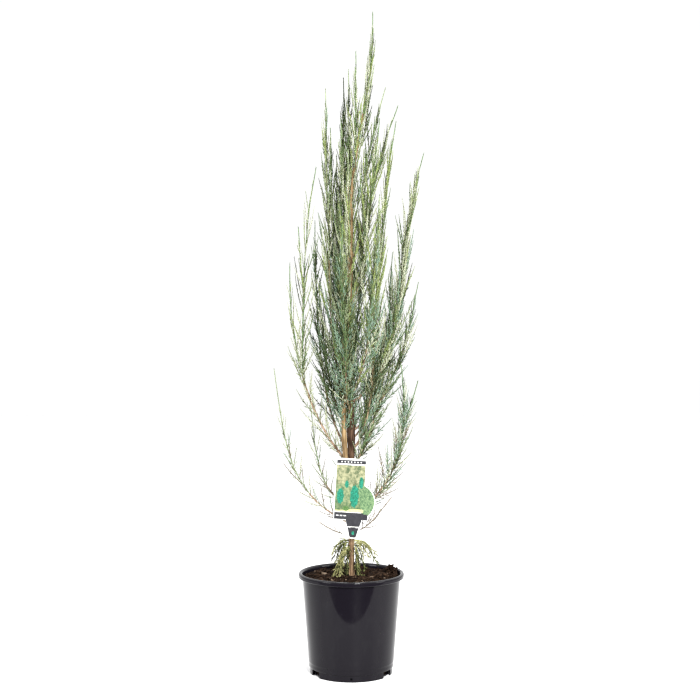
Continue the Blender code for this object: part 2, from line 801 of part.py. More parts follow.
def strap_object(home, finish):
    """The label's strap: a flat band round the trunk that meets the card's back."""
    axis = TRUNK.at(STRAP_Z - TRUNK_FOOT)
    inner = TRUNK.radius(STRAP_Z - TRUNK_FOOT) + 2 * GAP
    outer = inner + STRAP_THICKNESS
    low, high = STRAP_Z - STRAP_HEIGHT / 2, STRAP_Z + STRAP_HEIGHT / 2
    profile = ((inner, low), (inner, high), (outer, high), (outer, low), (inner, low))
    ring = as_mesh_object(turned_object("label_strap", profile, STRAP_STEPS, home, finish))
    ring.data.transform(Matrix.Translation((axis.x, axis.y, 0)))
    card_back = LABEL_FRONT + LABEL_THICKNESS / 2 + GAP
    pad_from = axis.y - inner - STRAP_THICKNESS * 0.6
    mesh = bpy.data.meshes.new("strap_pad")
    bm = bmesh.new()
    bmesh.ops.create_cube(bm, size=1)
    size = (STRAP_PAD_WIDTH, pad_from - card_back, STRAP_HEIGHT * 0.8)
    bmesh.ops.scale(bm, vec=size, verts=bm.verts)
    bmesh.ops.translate(
        bm, vec=(axis.x, (pad_from + card_back) / 2, STRAP_Z), verts=bm.verts
    )
    bm.to_mesh(mesh)
    bm.free()
    pads = collection("strap_pieces")
    add_mesh_object("strap_pad", mesh, pads)
    fuse(ring, pads)
    return ring


def sprig_object(name, foot, azimuth, reach, drop, finish, home, pieces):
    """A withered sprig that hangs out and down from the trunk to the mix."""
    rng = random.Random(name)
    s = foot - TRUNK_FOOT
    outward = heading(azimuth, 90)
    sideways = outward.cross(UP)
    seat = TRUNK.at(s) + outward * (TRUNK.radius(s) + GAP)
    points = [seat, seat + outward * COLLAR]
    for k in range(1, DRY_STEPS + 1):
        u = k / DRY_STEPS
        points.append(points[1] + outward * reach * u ** 0.8 - UP * drop * u ** 1.7)
    last = len(points) - 1
    stem = Path(points, [DRY_STEM_RADIUS * (1 - 0.4 * k / last) for k in range(last + 1)])
    base = as_mesh_object(tube_object(name, stem, home, 0), finish)
    for k in range(DRY_SPRAYS):
        at = stem.length * (0.25 + 0.70 * k / (DRY_SPRAYS - 1))
        side = sideways * (1 if k % 2 else -1) * rng.uniform(0.20, 0.50)
        way = (stem.tangent(at) * 0.8 + side - UP * rng.uniform(0.5, 0.9)).normalized()
        room = stem.at(at).z - MIX_TOP - DRY_CLEAR
        length = min(DRY_SPRAY_LENGTH * rng.uniform(0.7, 1.0), room / -way.z)
        if length > 3 * DRY_SPRAY_HALF_WIDTH:
            spray_object(f"{name}_{k}", stem.at(at), way, length, DRY_SPRAY_HALF_WIDTH, pieces)
    fuse(base, pieces)
    largest_piece(base)
    return base


def build():
    clear_scene()
    home = collection("juniper_tree")
    cutters = collection("cutters")
    pieces = collection("pieces")

    plastic = material("black_plastic", (0.018, 0.018, 0.020), 0.34)
    mix = material("potting_mix", (0.045, 0.025, 0.016), 0.95)
    bark = material("bark", (0.30, 0.17, 0.10), 0.85)
    green = material("foliage", (0.20, 0.29, 0.20), 0.7)
    dry = material("dry_foliage", (0.42, 0.42, 0.20), 0.8)
    card = material("label_card", (0.85, 0.86, 0.82), 0.4)

    pot_object(home, cutters, plastic)
    mix_object(home, mix)
    label_object(home, card)
    strap_object(home, card)

    trunk = as_mesh_object(tube_object("trunk", TRUNK, home, 2), bark)
    trunk.data.shade_smooth()

    solid_limbs, masses = [TRUNK], []
    for limb in LIMBS:
        whole = limb_path(limb)
        if limb.bare:
            bough = whole.part(0, limb.bare)
            solid_limbs.append(bough)
            obj = as_mesh_object(tube_object(f"bough_{limb.name}", bough, home, 1), bark)
            obj.data.shade_smooth()
        masses.append((limb, mass_stems(limb, whole)))
    masses.append((LEADER, [leader_path()]))

    left = LABEL_CENTRE_X - LABEL_WIDTH / 2 - LABEL_ROOM
    right = LABEL_CENTRE_X + LOBE_X + LOBE_RADIUS + LABEL_ROOM
    tongue_tip = LABEL_TOP - LABEL_HEIGHT - TONGUE_LENGTH
    label_room = (
        Vector((left, LABEL_FRONT - 4 * LABEL_ROOM, tongue_tip)),
        Vector((right, LABEL_FRONT + LABEL_ROOM, LABEL_TOP + LABEL_ROOM)),
    )
    for limb, stems in masses:
        others = [path for other, paths in masses if other is not limb for path in paths]
        space = Space(stems, others, solid_limbs, (label_room,))
        mass_object(f"mass_{limb.name}", stems, space, limb.spread, green, home, pieces)

    for name, foot, azimuth, reach, drop in DRY_SPRIGS:
        sprig_object(name, foot, azimuth, reach, drop, dry, home, pieces)


build()
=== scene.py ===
"""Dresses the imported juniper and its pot: bark, foliage, dry sprigs, pot, mix and label.

Metres, +Z up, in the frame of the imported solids, and -Y is the side seen in front. A
limb's azimuth is 0 at +X, 90 at the back, 180 at -X and 270 in front. The crown grows
by the rule of the solids, carried on to finer twigs, shoots and scale leaves.
"""

import logging
import math
import zlib
from dataclasses import dataclass, field, fields
from enum import Enum, IntEnum
from functools import partial

import bmesh
import bpy
import numpy as np
from mathutils import Matrix, Vector, noise
from mathutils.kdtree import KDTree

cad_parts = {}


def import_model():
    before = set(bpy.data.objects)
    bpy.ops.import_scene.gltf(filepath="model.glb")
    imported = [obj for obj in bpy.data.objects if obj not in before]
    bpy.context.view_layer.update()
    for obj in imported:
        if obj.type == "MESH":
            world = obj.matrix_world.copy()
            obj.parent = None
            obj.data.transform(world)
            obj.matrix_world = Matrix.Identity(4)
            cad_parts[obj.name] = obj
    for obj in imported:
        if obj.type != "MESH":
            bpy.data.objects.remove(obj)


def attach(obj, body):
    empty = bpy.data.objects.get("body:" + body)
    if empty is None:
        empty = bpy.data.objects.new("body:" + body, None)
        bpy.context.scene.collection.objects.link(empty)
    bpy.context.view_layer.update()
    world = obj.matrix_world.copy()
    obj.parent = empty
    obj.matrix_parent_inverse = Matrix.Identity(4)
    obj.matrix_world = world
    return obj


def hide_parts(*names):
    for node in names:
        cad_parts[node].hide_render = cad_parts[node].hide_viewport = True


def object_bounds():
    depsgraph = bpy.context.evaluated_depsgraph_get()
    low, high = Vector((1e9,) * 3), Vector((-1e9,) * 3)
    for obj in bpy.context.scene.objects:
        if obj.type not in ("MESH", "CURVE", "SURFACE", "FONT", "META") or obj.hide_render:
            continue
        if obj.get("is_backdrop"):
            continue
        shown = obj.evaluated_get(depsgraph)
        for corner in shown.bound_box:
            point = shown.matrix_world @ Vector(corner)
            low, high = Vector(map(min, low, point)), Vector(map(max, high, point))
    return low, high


log = logging.getLogger("juniper")

ROOT = "root"
GAP = 0.0003  # clearance between pieces that touch
UP = np.array((0.0, 0.0, 1.0))
ASKEW = np.array((0.83, 0.27, 0.11))  # a way that no strand takes, from which frames start
GOLDEN_ANGLE = math.radians(137.508)
ANY_ROLL = 6.3  # random rolls are drawn up to this, about a full turn in radians
LEAST_LENGTH = 1e-9  # shorter vectors have no way of their own
UPRIGHT = 1e-3  # the cross product of an upright axis with the vertical is shorter
SAME_PLACE = 0.00001  # corners nearer than this are one
SAME_LEVEL = 0.0001  # corners that differ less in height are level
MOST_TRIANGLES = 190_000  # in one piece

Array = np.ndarray
Pair = tuple[float, float]
Triple = tuple[float, float, float]
Colour = Triple
Outline = list[Pair]
Shapes = list[tuple[Outline, int]]  # each outline with the number of its finish
Random = np.random.Generator
Socket = bpy.types.NodeSocket
Material = bpy.types.Material
Object = bpy.types.Object
BMesh = bmesh.types.BMesh


class Slot(Enum):
    """The record's material slots."""

    POT = "pot_plastic"
    MIX = "potting_mix"
    BARK = "bark"
    FOLIAGE = "foliage"
    DRY = "dry_foliage"
    LABEL = "label_card"


class Tone(Enum):
    """The foliage colours, dealt out by spray."""

    # painted shade: near-black strands inside and behind the crown, partly their own dark green
    DEEP = "deep"
    GREEN = "green"
    SAGE = "sage"
    GLAUCOUS = "glaucous"
    FRESH = "fresh"
    # pale straw-green: partly the young tips' own colour, partly painted highlight on lit strands
    PALE = "pale"
    DUSTY = "dusty"


class Habit(Enum):
    """How a stem carries its twigs."""

    DENSE = "dense"
    WHIP = "whip"
    OPEN = "open"
    SPIKY = "spiky"
    BUSHY = "bushy"
    AIRY = "airy"


TONE_NUMBERS = {tone: number for number, tone in enumerate(Tone)}


# Small tools


def generator(name: str) -> Random:
    """A random generator seeded by a name, so that each run is the same."""
    return np.random.default_rng(zlib.crc32(name.encode()))


def unit(vectors: Array) -> Array:
    """The vectors along the last axis, each scaled to length one."""
    return vectors / np.maximum(np.linalg.norm(vectors, axis=-1, keepdims=True), LEAST_LENGTH)


def between(ends: Pair, share: Array) -> Array:
    """What lies at a share of the way from the first of two ends to the second."""
    return ends[0] + (ends[1] - ends[0]) * share


def dealt(counts: Array) -> tuple[Array, Array]:
    """Numbers the members of groups.

    Args:
        counts: How many members each group has.

    Returns:
        The group of each member, and its rank within that group.
    """
    group = np.repeat(np.arange(counts.size), counts)
    return group, np.arange(group.size) - np.repeat(np.cumsum(counts) - counts, counts)


def smoothstep(value: float) -> float:
    """An even rise from 0 to 1 with level ends."""
    value = min(max(value, 0.0), 1.0)
    return value * value * (3 - 2 * value)


def outward(azimuth: float) -> Array:
    """The level unit vector at an azimuth in degrees."""
    angle = math.radians(azimuth)
    return np.array((math.cos(angle), math.sin(angle), 0.0))


def turned_from(axis: Array, angle: Array, roll: Array, upturn: float) -> Array:
    """Unit vectors turned away from axes, rolled round them and then turned upwards.

    Args:
        axis: Unit vectors, one a row.
        angle: The angle of each from its axis, in radians.
        roll: The angle of each round its axis, in radians.
        upturn: How far they turn towards the vertical.

    Returns:
        One unit vector a row.
    """
    side = np.cross(axis, UP)
    side[np.linalg.norm(side, axis=1) < UPRIGHT] = (1.0, 0.0, 0.0)
    side = unit(side)
    other = np.cross(axis, side)
    rolled = side * np.cos(roll)[:, None] + other * np.sin(roll)[:, None]
    way = axis * np.cos(angle)[:, None] + rolled * np.sin(angle)[:, None]
    return unit(way + UP * upturn)


def add_object(name: str, mesh: bpy.types.Mesh, *finishes: Material) -> Object:
    """Links a mesh to the scene as an object at the origin.

    Args:
        name: The object's name.
        mesh: Its mesh, already in place.
        *finishes: Its materials, in slot order.

    Returns:
        The new object.
    """
    obj = bpy.data.objects.new(name, mesh)
    bpy.context.scene.collection.objects.link(obj)
    for finish in finishes:
        mesh.materials.append(finish)
    return obj


def from_bmesh(name: str, bm: BMesh, *finishes: Material) -> Object:
    """Makes an object of a bmesh and frees it.

    Args:
        name: The object's name.
        bm: The finished bmesh.
        *finishes: The object's materials, in slot order.

    Returns:
        The new object.
    """
    mesh = bpy.data.meshes.new(name)
    bm.to_mesh(mesh)
    bm.free()
    return add_object(name, mesh, *finishes)


def lathed(outline: Outline, steps: int, closed: bool = False) -> BMesh:
    """Turns an outline of radius and height round the Z axis.

    Args:
        outline: The outline's corners.
        steps: How many sides the body has.
        closed: Whether the last corner joins the first.

    Returns:
        A new bmesh that holds the body.
    """
    bm = bmesh.new()
    corners = [bm.verts.new((radius, 0, z)) for radius, z in outline]
    followers = corners[1:] + corners[:1] if closed else corners[1:]
    edges = [bm.edges.new(pair) for pair in zip(corners, followers)]
    bmesh.ops.spin(
        bm, geom=corners + edges, cent=(0, 0, 0), axis=(0, 0, 1), angle=2 * math.pi,
        steps=steps, use_merge=True, use_duplicate=False,
    )
    bmesh.ops.remove_doubles(bm, verts=bm.verts, dist=SAME_PLACE)
    return bm


def settle(obj: Object, nodes: list[str]) -> None:
    """Hangs a finished piece on the frame.

    Args:
        obj: The piece.
        nodes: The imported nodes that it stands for.
    """
    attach(obj, ROOT)
    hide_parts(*nodes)
    log.info("%s: %d faces", obj.name, len(obj.data.polygons))


def applied(obj: Object) -> None:
    """Puts an object's evaluated mesh in the place of its own and drops its modifiers.

    Args:
        obj: The object.
    """
    graph = bpy.context.evaluated_depsgraph_get()
    mesh = bpy.data.meshes.new_from_object(obj.evaluated_get(graph))
    obj.modifiers.clear()
    obj.data = mesh


def soften(obj: Object, degrees: float) -> None:
    """Shades an object smooth, but for edges sharper than an angle in degrees."""
    obj.data.shade_smooth()
    obj.data.set_sharp_from_angle(angle=math.radians(degrees))


def rounded(obj: Object, width: float) -> None:
    """Rounds the edges of an object made of card.

    Args:
        obj: The object.
        width: How wide the rounding is.
    """
    bevel = obj.modifiers.new("edge", "BEVEL")
    bevel.width, bevel.segments = width, 2
    applied(obj)
    soften(obj, degrees=40)


# Finishes


class Shading:
    """A material's node tree over object coordinates, built socket by socket."""

    noise_range: Pair = (0.3, 0.7)  # nearly all values of a noise lie between these
    mix_inputs: tuple[int, ...] = (0, 6, 7)  # a mix node's factor and its two colours
    mix_output: int = 2  # and its colour

    def __init__(self, name: str, roughness: float, specular: float) -> None:
        """Starts a material.

        Args:
            name: The material's name.
            roughness: The roughness where no node drives it.
            specular: The specular level.
        """
        self.material = bpy.data.materials.new(name)
        self.material.use_nodes = True
        self.tree = self.material.node_tree
        self.shader = self.tree.nodes["Principled BSDF"]
        self.shader.inputs["Roughness"].default_value = roughness
        self.shader.inputs["Specular IOR Level"].default_value = specular
        self.place = self.tree.nodes.new("ShaderNodeTexCoord").outputs["Object"]

    def noise(
        self, scale: float, detail: float = 4.0, stretch: Triple = (1, 1, 1), twist: float = 0.0
    ) -> Socket:
        """A noise over object coordinates.

        Args:
            scale: Lumps to the metre.
            detail: Octaves of finer noise.
            stretch: How the coordinates are scaled, so a small number draws lumps out.
            twist: Distortion of the noise.

        Returns:
            Its factor socket.
        """
        mapping = self.tree.nodes.new("ShaderNodeMapping")
        mapping.inputs["Scale"].default_value = stretch
        texture = self.tree.nodes.new("ShaderNodeTexNoise")
        texture.inputs["Scale"].default_value = scale
        texture.inputs["Detail"].default_value = detail
        texture.inputs["Distortion"].default_value = twist
        self.tree.links.new(self.place, mapping.inputs["Vector"])
        self.tree.links.new(mapping.outputs["Vector"], texture.inputs["Vector"])
        return texture.outputs["Fac"]

    def mapped(self, factor: Socket, source: Pair, result: Pair) -> Socket:
        """A factor carried from one range to another.

        Args:
            factor: What it reads.
            source: The range that it reads.
            result: What the ends of that range become.

        Returns:
            The result's socket.
        """
        node = self.tree.nodes.new("ShaderNodeMapRange")
        names = ("From Min", "From Max", "To Min", "To Max")
        for name, value in zip(names, (*source, *result)):
            node.inputs[name].default_value = value
        self.tree.links.new(factor, node.inputs["Value"])
        return node.outputs["Result"]

    def lowness(self, low: float, high: float) -> Socket:
        """A factor that falls with height.

        Args:
            low: The height up to which it is 1.
            high: The height from which it is 0.

        Returns:
            Its socket.
        """
        axes = self.tree.nodes.new("ShaderNodeSeparateXYZ")
        self.tree.links.new(self.place, axes.inputs["Vector"])
        return self.mapped(axes.outputs["Z"], (low, high), (1, 0))

    def ramp(self, factor: Socket, stops: list[tuple[float, Colour]]) -> Socket:
        """A colour ramp.

        Args:
            factor: What it reads.
            stops: Pairs of position and linear colour.

        Returns:
            Its colour socket.
        """
        node = self.tree.nodes.new("ShaderNodeValToRGB")
        elements = node.color_ramp.elements
        while len(elements) < len(stops):
            elements.new(0.5)
        for element, (position, colour) in zip(elements, stops):
            element.position = position
            element.color = (*colour, 1)
        self.tree.links.new(factor, node.inputs["Fac"])
        return node.outputs["Color"]

    def span(self, factor: Socket, low: float, high: float) -> Socket:
        """A noise spread over a range.

        Args:
            factor: The noise's factor.
            low: The result at the noise's low end.
            high: The result at its high end.

        Returns:
            The result's socket.
        """
        return self.mapped(factor, self.noise_range, (low, high))

    def blend(self, factor: Socket, below: Socket, above: Socket) -> Socket:
        """Two colours mixed by a factor.

        Args:
            factor: The share of the second.
            below: The first colour.
            above: The second colour.

        Returns:
            The mixed colour's socket.
        """
        node = self.tree.nodes.new("ShaderNodeMix")
        node.data_type = "RGBA"
        for socket, number in zip((factor, below, above), self.mix_inputs):
            self.tree.links.new(socket, node.inputs[number])
        return node.outputs[self.mix_output]

    def colour(self, socket: Socket) -> None:
        """Drives the base colour."""
        self.tree.links.new(socket, self.shader.inputs["Base Color"])

    def roughness(self, socket: Socket) -> None:
        """Drives the roughness."""
        self.tree.links.new(socket, self.shader.inputs["Roughness"])

    def bump(self, height: Socket, strength: float, depth: float) -> None:
        """Adds relief.

        Args:
            height: What it reads.
            strength: From 0 to 1.
            depth: Metres from lowest to highest.
        """
        node = self.tree.nodes.new("ShaderNodeBump")
        node.inputs["Strength"].default_value = strength
        node.inputs["Distance"].default_value = depth
        self.tree.links.new(height, node.inputs["Height"])
        self.tree.links.new(node.outputs["Normal"], self.shader.inputs["Normal"])


@dataclass(frozen=True)
class BarkFinish:
    """Fibrous bark that peels in upright strips, paler and strawy near the ground."""

    name: str
    dark: Colour
    middle: Colour
    light: Colour
    straw: Colour = (0.42, 0.29, 0.17)
    roughness: float = 0.82

    def make(self) -> Material:
        """Builds the material.

        Returns:
            The new material.
        """
        shading = Shading(self.name, self.roughness, specular=0.12)
        strips = shading.noise(420, detail=5, stretch=(1, 1, 0.09), twist=0.4)
        patches = shading.noise(60, detail=3, stretch=(1, 1, 0.5))
        fibres = shading.ramp(strips, [(0.30, self.dark), (0.52, self.middle), (0.70, self.light)])
        faded = shading.ramp(strips, [(0.34, self.middle), (0.60, self.light)])
        upper = shading.blend(shading.span(patches, 0.0, 0.9), fibres, faded)
        lower = shading.ramp(strips, [(0.32, self.middle), (0.50, self.light), (0.66, self.straw)])
        shading.colour(shading.blend(shading.lowness(0.20, 0.36), upper, lower))
        shading.roughness(shading.span(patches, self.roughness - 0.08, self.roughness + 0.1))
        shading.bump(strips, strength=0.7, depth=0.0006)
        return shading.material


@dataclass(frozen=True)
class FoliageFinish:
    """Scale leaves of one tone, with a waxy bloom."""

    name: str
    shade: Colour
    light: Colour
    roughness: float = 0.55

    def make(self) -> Material:
        """Builds the material.

        Returns:
            The new material.
        """
        shading = Shading(self.name, self.roughness, specular=0.07)
        bloom = shading.noise(190, detail=3)
        flecks = shading.noise(1400, detail=2)
        even = shading.ramp(bloom, [(0.32, self.shade), (0.68, self.light)])
        pale = tuple(min(1.0, channel * 1.25 + 0.01) for channel in self.light)
        flecked_share = shading.span(flecks, 0.0, 0.55)
        flecked = shading.ramp(bloom, [(0.3, self.light), (0.7, pale)])
        shading.colour(shading.blend(flecked_share, even, flecked))
        shading.roughness(shading.span(bloom, self.roughness - 0.08, self.roughness + 0.12))
        return shading.material


@dataclass(frozen=True)
class PlasticFinish:
    """Moulded nursery-pot plastic with faint scuffs and dust."""

    name: str
    base: Colour = (0.0046, 0.0037, 0.0059)
    scuffed: Colour = (0.0068, 0.0060, 0.0082)
    roughness: float = 0.07
    specular: float = 0.125

    def make(self) -> Material:
        """Builds the material.

        Returns:
            The new material.
        """
        shading = Shading(self.name, self.roughness, self.specular)
        dust = shading.noise(60, detail=6, stretch=(1, 1, 0.5), twist=0.6)
        scratches = shading.noise(300, detail=3, stretch=(0.2, 0.2, 4.0), twist=0.3)
        shading.colour(shading.ramp(dust, [(0.50, self.base), (0.80, self.scuffed)]))
        shading.roughness(shading.span(scratches, self.roughness - 0.02, self.roughness + 0.02))
        shading.bump(scratches, strength=0.02, depth=0.0001)
        return shading.material


@dataclass(frozen=True)
class MixFinish:
    """Moist composted bark, in crumbs and chips."""

    name: str
    dark: Colour
    middle: Colour
    light: Colour

    def make(self) -> Material:
        """Builds the material.

        Returns:
            The new material.
        """
        shading = Shading(self.name, roughness=0.88, specular=0.06)
        crumbs = shading.noise(330, detail=6, twist=0.6)
        stops = [(0.34, self.dark), (0.52, self.middle), (0.72, self.light)]
        shading.colour(shading.ramp(crumbs, stops))
        shading.roughness(shading.span(crumbs, 0.75, 0.95))
        shading.bump(crumbs, strength=0.9, depth=0.0012)
        return shading.material


@dataclass(frozen=True)
class CardFinish:
    """Printed or plain plastic card: a colour with a faint mottle and a light gloss."""

    name: str
    base: Colour
    mottle: Colour
    scale: float = 150.0
    specular: float = 0.45

    def make(self) -> Material:
        """Builds the material.

        Returns:
            The new material.
        """
        shading = Shading(self.name, roughness=0.34, specular=self.specular)
        grain = shading.noise(self.scale, twist=0.5)
        shading.colour(shading.ramp(grain, [(0.35, self.base), (0.68, self.mottle)]))
        shading.roughness(shading.span(grain, 0.30, 0.42))
        return shading.material


# Paths of trunk and limbs


class Path:
    """A polyline with a radius at each point, read by arc length."""

    sight: float = 0.004  # a tangent looks this far ahead and back
    least_step: float = 1e-4  # points nearer to a stretch's ends are left out
    waver_pitch: float = 16.0  # swings of a waver to the metre
    waver_fade: float = 0.05  # over this length a waver grows from nil
    waver_starts: float = 100.0  # each waver starts at its own place in the noise, up to here

    def __init__(self, points: Array, radii: Array) -> None:
        """Keeps the points and their arc lengths.

        Args:
            points: One point a row.
            radii: The radius at each.
        """
        self.points = np.asarray(points, dtype=float)
        self.radii = np.asarray(radii, dtype=float)
        steps = np.linalg.norm(np.diff(self.points, axis=0), axis=1)
        self.marks = np.concatenate(([0.0], np.cumsum(steps)))

    @property
    def length(self) -> float:
        """The arc length of the whole path."""
        return float(self.marks[-1])

    def at(self, s: Array) -> Array:
        """The points at arc lengths s."""
        return np.stack([np.interp(s, self.marks, self.points[:, k]) for k in range(3)], axis=-1)

    def radius(self, s: Array) -> Array:
        """The radii at arc lengths s."""
        return np.interp(s, self.marks, self.radii)

    def tangent(self, s: Array) -> Array:
        """The way that the path takes.

        Args:
            s: Arc lengths.

        Returns:
            A unit vector for each.
        """
        ahead = self.at(np.minimum(np.asarray(s) + self.sight, self.length))
        return unit(ahead - self.at(np.maximum(np.asarray(s) - self.sight, 0.0)))

    def spaced(self, step: float) -> "Path":
        """The same path with even points about step apart."""
        s = np.linspace(0, self.length, max(3, round(self.length / step) + 1))
        return Path(self.at(s), self.radius(s))

    def part(self, low: float, high: float) -> "Path":
        """A stretch of the path.

        Args:
            low: The arc length at its start.
            high: The arc length at its end.

        Returns:
            The stretch as a path.
        """
        past_start = self.marks > low + self.least_step
        short_of_end = self.marks < high - self.least_step
        s = np.concatenate(([low], self.marks[past_start & short_of_end], [high]))
        return Path(self.at(s), self.radius(s))

    def length_at_height(self, z: float) -> float:
        """Where the path first reaches a height.

        Args:
            z: The height.

        Returns:
            The arc length there.
        """
        i = int(np.argmax(self.points[:, 2] >= z))
        low, high = self.points[i - 1, 2], self.points[i, 2]
        step = self.marks[i] - self.marks[i - 1]
        return float(self.marks[i - 1] + (z - low) / (high - low) * step)

    def green_from(self, radius: float) -> float:
        """The arc length past which the path is thinner than radius."""
        thin = np.nonzero(self.radii < radius)[0]
        return float(self.marks[thin[0]]) if len(thin) else self.length

    def wavering(self, amount: float, name: str) -> "Path":
        """The path with a slight waver that is nil at both ends.

        Args:
            amount: How far it wavers, in metres.
            name: Seeds the waver.

        Returns:
            The wavering path.
        """
        starts = generator(name).uniform(0, self.waver_starts, 2)
        ends = np.minimum(self.marks, self.length - self.marks)
        fade = np.clip(ends / self.waver_fade, 0, 1)
        moves = [
            [noise.noise(Vector((s * self.waver_pitch, start, 0.5))) for s in self.marks]
            for start in starts
        ]
        shift = np.zeros_like(self.points)
        shift[:, 0], shift[:, 1] = moves
        return Path(self.points + shift * (2 * amount * fade)[:, None], self.radii)


LINE_STEPS = 80  # of a limb's line
LINE_CROWDING = 1.6  # above 1, they are shorter where it starts
STEM_STEP = 0.006  # between the points of a stem's path
PAST_BOUGH = 0.008  # a mass's stem starts this far past its bare bough
PAST_TRUNK = 0.012  # or this far along its limb, where no bough is bare
FORK_SHARE = 0.8  # a fork's radius as a share of its stem's
LIMB_WAVER = 0.0011
FORK_WAVER = 0.001
LEADER_WAVER = 0.0009
TIP_RADIUS = 0.0008  # of every stem
TAPER = 0.8  # below 1, stems thin early


@dataclass(frozen=True)
class Fork:
    """A second leader that leaves a mass's stem at height foot and ends at height top.

    The number stem says which of its limb's stems it leaves, and 0 is the first.
    """

    foot: float
    azimuth: float
    top: float
    bulge: float = 0.0
    rise: float = 0.05
    lean: float = 0.0
    flick: float = 0.0
    stem: int = 0


@dataclass(frozen=True)
class Limb:
    """A bough and the mass on it, by the same numbers as the solids.

    It runs out from the trunk by bulge, which it nears as it climbs by rise after rise,
    leans on by lean for each metre of height, and flicks out by flick towards its tip.
    """

    name: str
    foot: float
    azimuth: float
    top: float
    bulge: float
    rise: float
    lean: float = 0.0
    flick: float = 0.0
    bare: float = 0.0
    radius: float = 0.0020
    habit: Habit = Habit.DENSE
    fresh: float = 0.0  # share of yellow-green sprays
    golden: bool = False  # has golden bark
    blue: float = 0.0  # share of further glaucous sprays low down
    dark: float = 0.0  # share of further near-black sprays: painted shade on strands in the crown's shadow
    dusty: float = 0.0  # share of dull, pinkish sprays low down
    bleached: float = 0.0  # share of further pale sprays, partly painted highlight
    crowd: float = 1.0  # how many twigs it has for each that its habit gives
    clad: float = 0.15  # share of the bough's length below its first twig
    stout: float = 0.78  # the bark's radius as a share of the solid's
    tip: float = 0.034  # the end of a stem that has no shoots
    wood_to: float = 0.0018  # a stem thinner than this is green
    leafy_end: float = 0.30  # up to this length of a stem's end is clad in leaves
    close_from: float = 0.84  # above this height its shoots lie close to their twigs
    forks: tuple[Fork, ...] = ()

    def rising_line(self, start: Array, azimuth: float, shape: "Limb | Fork") -> Array:
        """Points up a limb or fork of that shape.

        Args:
            start: Where it starts to rise.
            azimuth: The way that it leans, in degrees.
            shape: The limb or fork.

        Returns:
            One point a row.
        """
        height = shape.top - start[2]
        climb = height * (np.arange(LINE_STEPS + 1) / LINE_STEPS) ** LINE_CROWDING
        out = shape.bulge * (1 - np.exp(-climb / shape.rise)) + shape.lean * climb
        out += shape.flick * (climb / height) ** 3
        return start + outward(azimuth) * out[:, None] + UP * climb[:, None]

    def whole(self, trunk: "Trunk") -> Path:
        """The limb from within the trunk to its tip.

        Args:
            trunk: The trunk that it leaves.

        Returns:
            Its path.
        """
        s = trunk.path.length_at_height(self.foot)
        axis, radius = trunk.path.at(s), float(trunk.path.radius(s))
        away = outward(self.azimuth)
        elbow = axis + away * (radius + GAP + trunk.collar)
        line = self.rising_line(elbow, self.azimuth, self)
        seat = axis + away * radius * trunk.seat_share - UP * trunk.seat_drop
        path = Path(np.vstack((seat, line)), np.zeros(len(line) + 1)).spaced(STEM_STEP)
        points = path.points
        for _ in range(2):
            points[1:-1] = (points[:-2] + 2 * points[1:-1] + points[2:]) / 4
        return tapered(Path(points, path.radii), self.radius).wavering(LIMB_WAVER, self.name)

    def stems(self, whole: Path) -> list[Path]:
        """The limb's own stem past the bare bough, then its forks.

        Args:
            whole: The limb from the trunk to its tip.

        Returns:
            The paths of its stems.
        """
        first = self.bare + PAST_BOUGH if self.bare else PAST_TRUNK
        stems = [whole.part(first, whole.length)]
        for number, fork in enumerate(self.forks):
            stem = stems[fork.stem]
            s = stem.length_at_height(fork.foot)
            line = self.rising_line(stem.at(s), fork.azimuth, fork)
            path = Path(line, np.zeros(len(line))).spaced(STEM_STEP)
            path = tapered(path, FORK_SHARE * float(stem.radius(s)))
            stems.append(path.wavering(FORK_WAVER, f"{self.name}_{number}"))
        return stems


def tapered(path: Path, root: float) -> Path:
    """The path with radii that taper from root to a stem's tip."""
    share = path.marks / path.length
    return Path(path.points, root + (TIP_RADIUS - root) * share**TAPER)


@dataclass
class Trunk:
    """The trunk's axis, by the same numbers as the solid."""

    foot: float = 0.1803
    top: float = 1.055
    radius: float = 0.0070
    tip_radius: float = 0.0017
    stout: float = 0.0054  # the bark of the lower trunk is no wider
    flare: float = 0.0016
    flare_height: float = 0.018
    bow: float = -0.006
    bow_height: float = 0.62
    bow_spread: float = 0.11
    lean: float = 0.039
    lean_from: float = 0.88
    lean_to: float = 1.20
    collar: float = 0.0045  # from the trunk's surface to where a limb starts to rise
    seat_share: float = 0.4  # a limb's path starts at this share of the trunk's radius
    seat_drop: float = 0.004  # and this far below the height of its foot
    swell: float = 0.0027  # boughs lie close along the trunk over the label
    swell_height: float = 0.455
    swell_spread: float = 0.048
    step: float = 0.003  # between the heights of its points
    path: Path = field(init=False)
    bark: Path = field(init=False)

    def __post_init__(self) -> None:
        """Works out the axis and the bark round it."""
        heights = np.append(np.arange(self.foot, self.top, self.step), self.top)
        points, radii = [], []
        for z in heights:
            bow = self.bow * math.exp(-(((z - self.bow_height) / self.bow_spread) ** 2))
            lean = self.lean * smoothstep((z - self.lean_from) / (self.lean_to - self.lean_from))
            share = max(0.0, (z - self.foot) / (self.top - self.foot))
            taper = (self.radius - self.tip_radius) * (1 - share) ** TAPER
            points.append((bow + lean, 0.0, z))
            radii.append(self.tip_radius + taper)
        self.path = Path(points, radii)
        flare = self.flare * np.exp(-3 * (heights - self.foot) / self.flare_height)
        swell = self.swell * np.exp(-(((heights - self.swell_height) / self.swell_spread) ** 2))
        self.bark = Path(points, np.minimum(radii, self.stout) + flare + swell)


whip = partial(Limb, habit=Habit.WHIP)  # twigs keep close to its stem
open_limb = partial(Limb, habit=Habit.OPEN)  # open foliage
bushy = partial(Limb, habit=Habit.BUSHY)  # low, with crowded, spiky twigs
airy = partial(Limb, habit=Habit.AIRY)  # few, long twigs
spiky = partial(Limb, habit=Habit.SPIKY)  # low, with sparse, spiky twigs


CLEAR_OF_TRUNK = 0.016  # foliage starts at least this far along a limb


